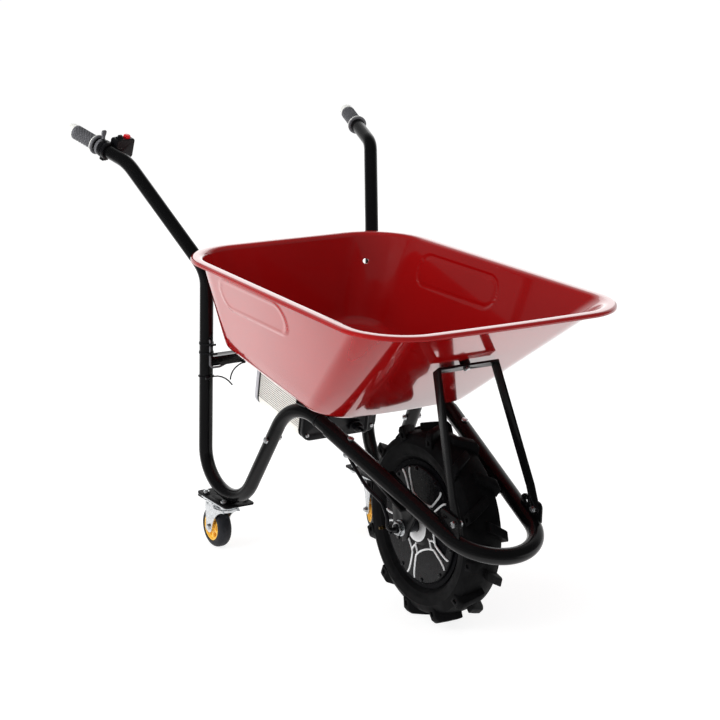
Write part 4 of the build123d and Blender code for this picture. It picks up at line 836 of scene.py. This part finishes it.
def tyre_lug(rounding):
    """One lug on the right half of the tread, swept back from the middle and bent down over the shoulder."""
    lug = block(24, 22, 32)
    edit(lug)

    def end_y():
        return min(v.co.y for v in bmesh.from_edit_mesh(lug.data).verts)

    # A block on the crown: its inner end is set back, its outer end forward and slightly lower.
    choose_all()
    bpy.ops.transform.translate(value=(7 * MM, -7 * MM, 200 * MM))
    choose(lambda v: v.co.y > 0)
    bpy.ops.transform.translate(value=(-7 * MM, 0, 0))
    choose(lambda v: v.co.y < 0)
    bpy.ops.transform.translate(value=(8 * MM, 0, -0.6 * MM))
    # It runs out to the shoulder and a little past it, where its top falls.
    for step in ((14.5, -21.5, -1.8), (4, -6, 0)):
        choose(lambda f: f.normal.y < -0.9, "FACE")
        extrude(Vector(step) * MM)
    tip = end_y() + 0.1 * MM
    choose(lambda v: v.co.y < tip and v.co.z > 200 * MM)
    bpy.ops.transform.translate(value=(0, 0, -9 * MM))
    # Its flanks lean in towards the top, and its outer end has a shallow pocket.
    choose(lambda f: f.normal.z > 0.5, "FACE")
    bpy.ops.transform.resize(value=(0.88, 1, 1), center_override=(17 * MM, -21 * MM, 214 * MM))
    choose(lambda e: edge_middle(e).z > 186 * MM or edge_rise(e) > 10 * MM, "EDGE")
    bpy.ops.mesh.bevel(offset=rounding, segments=2, profile=0.5, affect="EDGES")
    tip = end_y() + 0.2 * MM
    broad = 100 * MM**2
    choose(lambda f: f.normal.y < -0.95 and f.calc_center_median().y < tip and f.calc_area() > broad, "FACE")
    bpy.ops.mesh.inset(thickness=5 * MM)
    extrude((0, 3 * MM, 0))
    leave()
    return lug


class BARROW_OT_tyre(bpy.types.Operator):
    """Draws the tyre: a carcass with moulded sidewall ribs and two rows of swept lugs."""

    bl_idname = "barrow.tyre"
    bl_label = "Tyre"

    def execute(self, context):
        row_lugs = 12
        tread = [tyre_carcass()]
        lug = tyre_lug(context.scene.barrow_sizes.lug_round)
        hub = Matrix.Translation(from_axle(0, 0, wheel_r))
        for index in range(row_lugs):
            for lag, flip in ((0, 1), (0.5, -1)):
                turn = Matrix.Rotation(math.radians(360 / row_lugs * (index + lag)), 4, "Y")
                tread.append(copied(lug, hub @ turn @ Matrix.Diagonal((1, flip, 1, 1))))
        bpy.data.objects.remove(lug)
        dress(joined(tread), "lugged_tyre", "moulded_tyre_rubber", "wheel", ("tyre",), 32)
        return {"FINISHED"}


class BARROW_OT_hub(bpy.types.Operator):
    """Adds the bright lines and boss rings machined on the hub covers."""

    bl_idname = "barrow.hub"
    bl_label = "Hub lines"

    def execute(self, context):
        half_width = context.scene.barrow_sizes.silver_line
        face, windows, first_window = 41.2, 5, 152
        pitch = 360 / windows
        # A window's outline: down the spoke's flank by radius and the spoke's half width, then round the
        # window's foot by radius and angle from its middle
        flank = ((125, 14.5), (121, 12), (115, 10), (106, 8.5), (92, 7.5), (80, 7), (72, 7))
        arch = [(r, pitch / 2 - math.degrees(math.asin(half / r))) for r, half in flank]
        arch += [(65, 25), (59.5, 17), (56.5, 8.5)]
        ring = [(15, 47.5), (15, 49.2), (16, 49.8), (34, 49.8), (36.4, 49.2), (37.4, 47.5)]
        centre = from_axle(0, 0, wheel_r)
        for side_name, side in both_sides:

            def spot(radius, angle):
                turn = math.radians(angle if side < 0 else 180 - angle)
                return from_axle(radius * math.cos(turn), side * face, wheel_r + radius * math.sin(turn))

            lines = []
            for window in range(windows):
                middle = first_window + pitch * window
                stem = middle - pitch / 2
                outline = [spot(r, middle - a) for r, a in arch] + [spot(55.5, middle)]
                outline += [spot(r, middle + a) for r, a in reversed(arch)]
                # The line along the spoke's stem forks towards the rim.
                fork = [spot(40, stem), spot(49, stem), spot(60, stem + 8), spot(67, stem + 9)]
                prong = [spot(49, stem), spot(60, stem - 8), spot(67, stem - 9)]
                lines += [wired(line, half_width, 2) for line in (outline, fork, prong)]
            profile = [centre + Vector((0, side * y * MM, r * MM)) for r, y in ring]
            lines.append(spun(profile, 64, centre, (0, 1, 0)))
            dress(joined(lines), f"{side_name}_hub_lines", "machined_aluminium", "wheel")
        return {"FINISHED"}


# The handles: where they bend, in millimetres from the axle, the middle and the ground, how they rise and
# splay in degrees, and how far past the bend their fittings start
bend_x, bend_y, bend_z = -813, 333, 894
handle_rise, handle_splay = 14, 14
throttle_start, grip_start = 89.5, 107


def handle_matrix(side, along):
    """The frame of a handle at a distance from its bend: X across, Y up, Z towards its end."""
    rise, splay = math.radians(handle_rise), math.radians(handle_splay)
    level = math.cos(rise)
    ahead = Vector((-level * math.cos(splay), side * level * math.sin(splay), math.sin(rise)))
    across = Vector((0, 0, 1)).cross(ahead).normalized()
    up = ahead.cross(across)
    return axes(across, up, ahead, from_axle(bend_x, side * bend_y, bend_z) + ahead * along * MM)


class BARROW_OT_grips(bpy.types.Operator):
    """Draws the two handle grips with their flange and diamond knurling."""

    bl_idname = "barrow.grips"
    bl_label = "Grips"

    def execute(self, context):
        knurl = context.scene.barrow_sizes.knurl
        sleeve_r, sleeve_start, sleeve_end = 17.4, 8, 78
        spokes, rows, plain_rows, groove_step = 48, 30, 2, 4
        run = (sleeve_end - sleeve_start) * MM
        clear_choice()
        bpy.ops.mesh.primitive_cylinder_add(
            vertices=spokes,
            radius=sleeve_r * MM,
            depth=run,
            location=(0, 0, (sleeve_start + sleeve_end) / 2 * MM),
            end_fill_type="NOTHING",
        )
        sleeve = bpy.context.object
        settle()
        edit(sleeve)
        choose(lambda e: edge_rise(e) > run / 2, "EDGE")
        bpy.ops.mesh.subdivide(number_cuts=rows - 1)

        def grooved(v):
            ring = round((v.co.z - sleeve_start * MM) / (run / rows))
            spoke = round(math.atan2(v.co.y, v.co.x) / (2 * math.pi / spokes))
            crossed = (ring + spoke) % groove_step == 0 or (ring - spoke) % groove_step == 0
            return crossed and plain_rows <= ring <= rows - plain_rows

        choose(grooved)
        bpy.ops.transform.shrink_fatten(value=-knurl)
        leave()
        flange = [(16.1, 0), (22, 0), (23.2, 1), (23.5, 2.5), (23.2, 4), (22, 5), (19, 5.4), (17.8, 6.6)]
        flange.append((sleeve_r, sleeve_start))
        tail = [(sleeve_r, sleeve_end), (17.6, 79.5), (17.5, 81), (16.8, 82), (14, 82)]
        grip = joined([sleeve, turned(flange, spokes), turned(tail, spokes)])
        edit(grip)
        merge_points()
        leave()
        for side_name, side in both_sides:
            twin = copied(grip, handle_matrix(side, grip_start))
            replaced = (f"{side_name}_grip",)
            dress(twin, f"{side_name}_knurled_grip", "grip_rubber", "frame", replaced, 20)
        bpy.data.objects.remove(grip)
        ring = [(17.6, 5.3), (22.4, 5.3), (23.2, 5.8), (23.4, 6.6), (23.2, 7.4), (22.4, 7.9), (17.6, 7.9)]
        ring.append(ring[0])
        plug = [(10, 81), (16.4, 81.6), (16.6, 83), (16.6, 96), (16.0, 98.4), (14.9, 99.2), (13.7, 103)]
        plug.append((0.05, 103))
        inner = joined([turned(ring, 64), turned(plug, 64)])
        ends = joined([copied(inner, handle_matrix(side, grip_start)) for _, side in both_sides])
        bpy.data.objects.remove(inner)
        replaced = ("grip_end_caps",)
        dress(ends, "white_inner_sleeves", "milky_polythene", "frame", replaced, 40)
        return {"FINISHED"}


class BARROW_OT_throttle(bpy.types.Operator):
    """Draws the thumb throttle: a collar and a dished paddle."""

    bl_idname = "barrow.throttle"
    bl_label = "Throttle"

    def execute(self, context):
        collar = [(16.1, 0), (19.4, 0), (20, 0.8), (20, 9.2), (19.4, 10), (16.1, 10), (16.1, 0)]
        ring = turned(collar, 72)
        paddle = block(6, 6, 8)
        edit(paddle)
        choose_all()
        root = (0, 20 * MM, 5 * MM)
        bpy.ops.transform.translate(value=root)
        stages = ((4, 1.0, 0.85), (4, 1.7, 0.8), (5, 1.25, 0.85), (4, 0.95, 0.9), (2.2, 0.6, 0.8))
        for rise, wide, thick in stages:
            choose(lambda f: f.normal.y > 0.9, "FACE")
            extrude((0, rise * MM, 0))
            bpy.ops.transform.resize(value=(wide, 1, thick), center_override=root)
        dish = 1.2 * MM
        choose(lambda f: f.normal.z > 0.9 and 29 * MM < f.calc_center_median().y < 38 * MM, "FACE")
        bpy.ops.mesh.inset(thickness=dish)
        extrude((0, 0, -dish))
        leave()
        apply_modifier(paddle, "BEVEL", width=0.5 * MM, segments=2, limit_method="ANGLE")
        apply_modifier(paddle, "SUBSURF", levels=2, render_levels=2)
        lever = joined([ring, paddle])
        move(lever, handle_matrix(-1, throttle_start))
        dress(lever, "thumb_throttle", "grip_rubber", "throttle", ("throttle_lever",), 40)
        return {"FINISHED"}


class BARROW_OT_ties(bpy.types.Operator):
    """Draws the two cable ties with uncut tails, one on the right leg and one on the cross member."""

    bl_idname = "barrow.ties"
    bl_label = "Tie tails"

    def execute(self, context):
        thick = context.scene.barrow_sizes.tie
        lock = 2.4 * thick
        leg_x, leg_y, band_z, band_r, band_steps = -625, -225, 415, 17.2, 24
        leg_band = []
        for step in range(band_steps):
            turn = math.radians(360 / band_steps * step)
            leg_band.append((leg_x + band_r * math.cos(turn), leg_y + band_r * math.sin(turn), band_z))
        leg_tail = [(-606, -233, 415), (-604, -227, 416), (-603, -217, 418), (-603, -206, 417.2)]
        leg_tail += [(-603, -196, 414.2), (-603, -186, 409), (-603, -177, 401.5), (-603, -168, 391.4)]
        leg_lock = [(-607, -236, 415), (-606.5, -229, 415)]
        member_band = [(-609, -135, 440), (-609, -135, 464), (-641, -135, 464), (-641, -135, 440)]
        member_tail = [(-609, -134, 441), (-608, -147, 436.5), (-608, -157, 430.3), (-608, -163, 424)]
        member_tail += [(-608, -167.3, 416.4), (-608, -169.3, 410), (-608, -170, 403)]
        member_lock = [(-608, -139, 442), (-608, -132, 442)]
        wires = [(leg_band, thick, True), (member_band, thick, True), (leg_tail, thick, False)]
        wires += [(member_tail, thick, False), (leg_lock, lock, False), (member_lock, lock, False)]
        ties = []
        for line, radius, closed in wires:
            ties.append(wired([from_axle(*spot) for spot in line], radius, 3, closed))
        dress(joined(ties), "long_tie_tails", "black_moulding", "frame")
        return {"FINISHED"}


def white_floor():
    """A pale floor that fades into the white background and still takes the wheelbarrow's shadow."""
    clear_choice()
    bpy.ops.mesh.primitive_plane_add(size=80, location=(0, 0, 0))
    floor = bpy.context.object
    floor.name = "studio_floor"
    tree, where = blank_material("white_sweep")
    path = add_node(tree, "ShaderNodeLightPath").outputs

    def glowing(code, strength):
        matt = add_node(tree, "ShaderNodeBsdfDiffuse", {"Color": linear(code)})
        glow = add_node(tree, "ShaderNodeEmission", {"Color": (1, 1, 1, 1), "Strength": strength})
        return add_node(tree, "ShaderNodeAddShader", {0: matt.outputs[0], 1: glow.outputs[0]}).outputs[0]

    looks = {0: path["Is Camera Ray"], 1: glowing("#E6E6E6", 0.4), 2: glowing("#AAAAAA", 0.8)}
    surface = add_node(tree, "ShaderNodeMixShader", looks).outputs[0]
    # Paint mirrors a floor with painted shade towards the front right, away from the backdrop.
    heading = {0: where, 1: (-0.5, 0.87, 0.0)}
    nearness = add_node(tree, "ShaderNodeVectorMath", heading, operation="DOT_PRODUCT").outputs["Value"]
    ends = {"From Min": -0.38, "From Max": 0.14, "To Min": 0.8, "To Max": 0.0}
    shade = add_node(tree, "ShaderNodeMapRange", {"Value": nearness, **ends}).outputs[0]
    # Only what hangs well above the floor mirrors this painted shade, so the castors stay bright.
    ends = {"From Min": 0.35, "From Max": 0.6, "To Min": 0.0, "To Max": 1.0}
    height = add_node(tree, "ShaderNodeMapRange", {"Value": path["Ray Length"], **ends}).outputs[0]
    for factor in (path["Is Glossy Ray"], height):
        shade = add_node(tree, "ShaderNodeMath", {0: shade, 1: factor}, operation="MULTIPLY").outputs[0]
    # A dark floor seen only in reflections, as painted shade.
    dark = add_node(tree, "ShaderNodeBsdfDiffuse", {"Color": linear("#202020")}).outputs[0]
    surface = add_node(tree, "ShaderNodeMixShader", {0: shade, 1: surface, 2: dark}).outputs[0]
    add_node(tree, "ShaderNodeOutputMaterial", {"Surface": surface})
    floor.data.materials.append(bpy.data.materials["white_sweep"])


def studio_room(ambient):
    """Even light, a white background for the camera, and a room that paint and metal mirror."""
    world = bpy.data.worlds.new("white_studio")
    bpy.context.scene.world = world
    world.use_nodes = True
    tree = world.node_tree
    tree.nodes.clear()
    path = add_node(tree, "ShaderNodeLightPath").outputs
    rays = {0: path["Is Glossy Ray"], 1: path["Is Transmission Ray"]}
    mirrored = add_node(tree, "ShaderNodeMath", rays, operation="MAXIMUM").outputs[0]
    # The backdrop is white on one side of the room; the rest of the room is dim.
    heading = {0: add_node(tree, "ShaderNodeTexCoord").outputs["Generated"], 1: (-0.84, 0.54, 0.0)}
    facing = add_node(tree, "ShaderNodeVectorMath", heading, operation="DOT_PRODUCT").outputs["Value"]
    ends = {"Value": facing, "From Min": 0.35, "From Max": 0.88, "To Min": 0.08, "To Max": 0.84}
    room = add_node(tree, "ShaderNodeMapRange", ends, interpolation_type="SMOOTHSTEP").outputs[0]
    glows = []
    for strength in (ambient, room, 1.0):
        glow = add_node(tree, "ShaderNodeBackground", {"Color": (1, 1, 1, 1), "Strength": strength})
        glows.append(glow.outputs[0])
    surface = add_node(tree, "ShaderNodeMixShader", {0: mirrored, 1: glows[0], 2: glows[1]}).outputs[0]
    looks = {0: path["Is Camera Ray"], 1: surface, 2: glows[2]}
    surface = add_node(tree, "ShaderNodeMixShader", looks).outputs[0]
    add_node(tree, "ShaderNodeOutputWorld", {"Surface": surface})


def soft_lamps(level):
    """Three soft lamps round the wheelbarrow, of which paint and metal mirror the back one alone."""
    # Name, place and size in metres, and power in watts
    lamps = (
        ("top_softbox", (0.5, -0.4, 3.8), 2.0, 26),
        ("right_softbox", (-0.3, -3.5, 1.5), 2.6, 90),
        ("back_softbox", (-3.2, 2.1, 1.5), 3.0, 20),
    )
    target = Vector((0.1, 0, 0.45))
    for name, spot, size, power in lamps:
        bpy.ops.object.light_add(type="AREA", location=spot)
        lamp = bpy.context.object
        lamp.name = name
        lamp.data.size = size
        lamp.data.energy = power * level
        lamp.visible_camera = False
        lamp.visible_glossy = name == "back_softbox"
        lamp.rotation_euler = (target - Vector(spot)).to_track_quat("-Z", "Y").to_euler()


def photo_camera(lens):
    """The camera where the photograph was taken: turned, looking slightly down and a little rolled."""
    turn, fall, roll = (math.radians(angle) for angle in (32.64, 15.38, 1.46))
    ahead = Vector((-math.cos(fall) * math.cos(turn), math.cos(fall) * math.sin(turn), -math.sin(fall)))
    right = Vector((math.sin(turn), math.cos(turn), 0))
    up = right.cross(ahead)
    rolled_right = right * math.cos(roll) + up * math.sin(roll)
    rolled_up = up * math.cos(roll) - right * math.sin(roll)
    stand = from_axle(3577.9, -2493.8, 1772.4)
    bpy.ops.object.camera_add(location=stand)
    camera = bpy.context.object
    camera.matrix_world = axes(rolled_right, rolled_up, -ahead, stand)
    camera.data.lens = lens
    camera.data.sensor_width = 36
    bpy.context.scene.camera = camera


class BARROW_OT_stage(bpy.types.Operator):
    """Sets up the floor, the soft lamps, the even light and the camera."""

    bl_idname = "barrow.stage"
    bl_label = "Stage"

    def execute(self, context):
        settings = context.scene.barrow_stage
        white_floor()
        studio_room(settings.ambient)
        soft_lamps(settings.lamp)
        photo_camera(settings.lens)
        context.scene.view_settings.view_transform = "Standard"
        return {"FINISHED"}


class BARROW_PT_panel(bpy.types.Panel):
    """Lists the steps that dress the wheelbarrow."""

    bl_label = "Wheelbarrow"
    bl_idname = "BARROW_PT_panel"
    bl_space_type = "VIEW_3D"
    bl_region_type = "UI"
    bl_category = "Wheelbarrow"

    def draw(self, context):
        for operator in operators:
            self.layout.operator(operator.bl_idname)
        for group in (context.scene.barrow_colours, context.scene.barrow_sizes, context.scene.barrow_stage):
            for key in group.bl_rna.properties.keys():
                if key not in ("rna_type", "name"):
                    self.layout.prop(group, key)


operators = (
    BARROW_OT_finishes,
    BARROW_OT_stage,
    BARROW_OT_edges,
    BARROW_OT_tray,
    BARROW_OT_tyre,
    BARROW_OT_hub,
    BARROW_OT_grips,
    BARROW_OT_throttle,
    BARROW_OT_ties,
)
classes = (BarrowColours, BarrowSizes, BarrowStage) + operators + (BARROW_PT_panel,)


def register():
    for kind in classes:
        bpy.utils.register_class(kind)
    bpy.types.Scene.barrow_colours = bpy.props.PointerProperty(type=BarrowColours)
    bpy.types.Scene.barrow_sizes = bpy.props.PointerProperty(type=BarrowSizes)
    bpy.types.Scene.barrow_stage = bpy.props.PointerProperty(type=BarrowStage)


def unregister():
    for name in ("barrow_colours", "barrow_sizes", "barrow_stage"):
        delattr(bpy.types.Scene, name)
    for kind in reversed(classes):
        bpy.utils.unregister_class(kind)


def main():
    register()
    for operator in operators:
        group, name = operator.bl_idname.split(".")
        getattr(getattr(bpy.ops, group), name)()


if __name__ == "__main__":
    main()
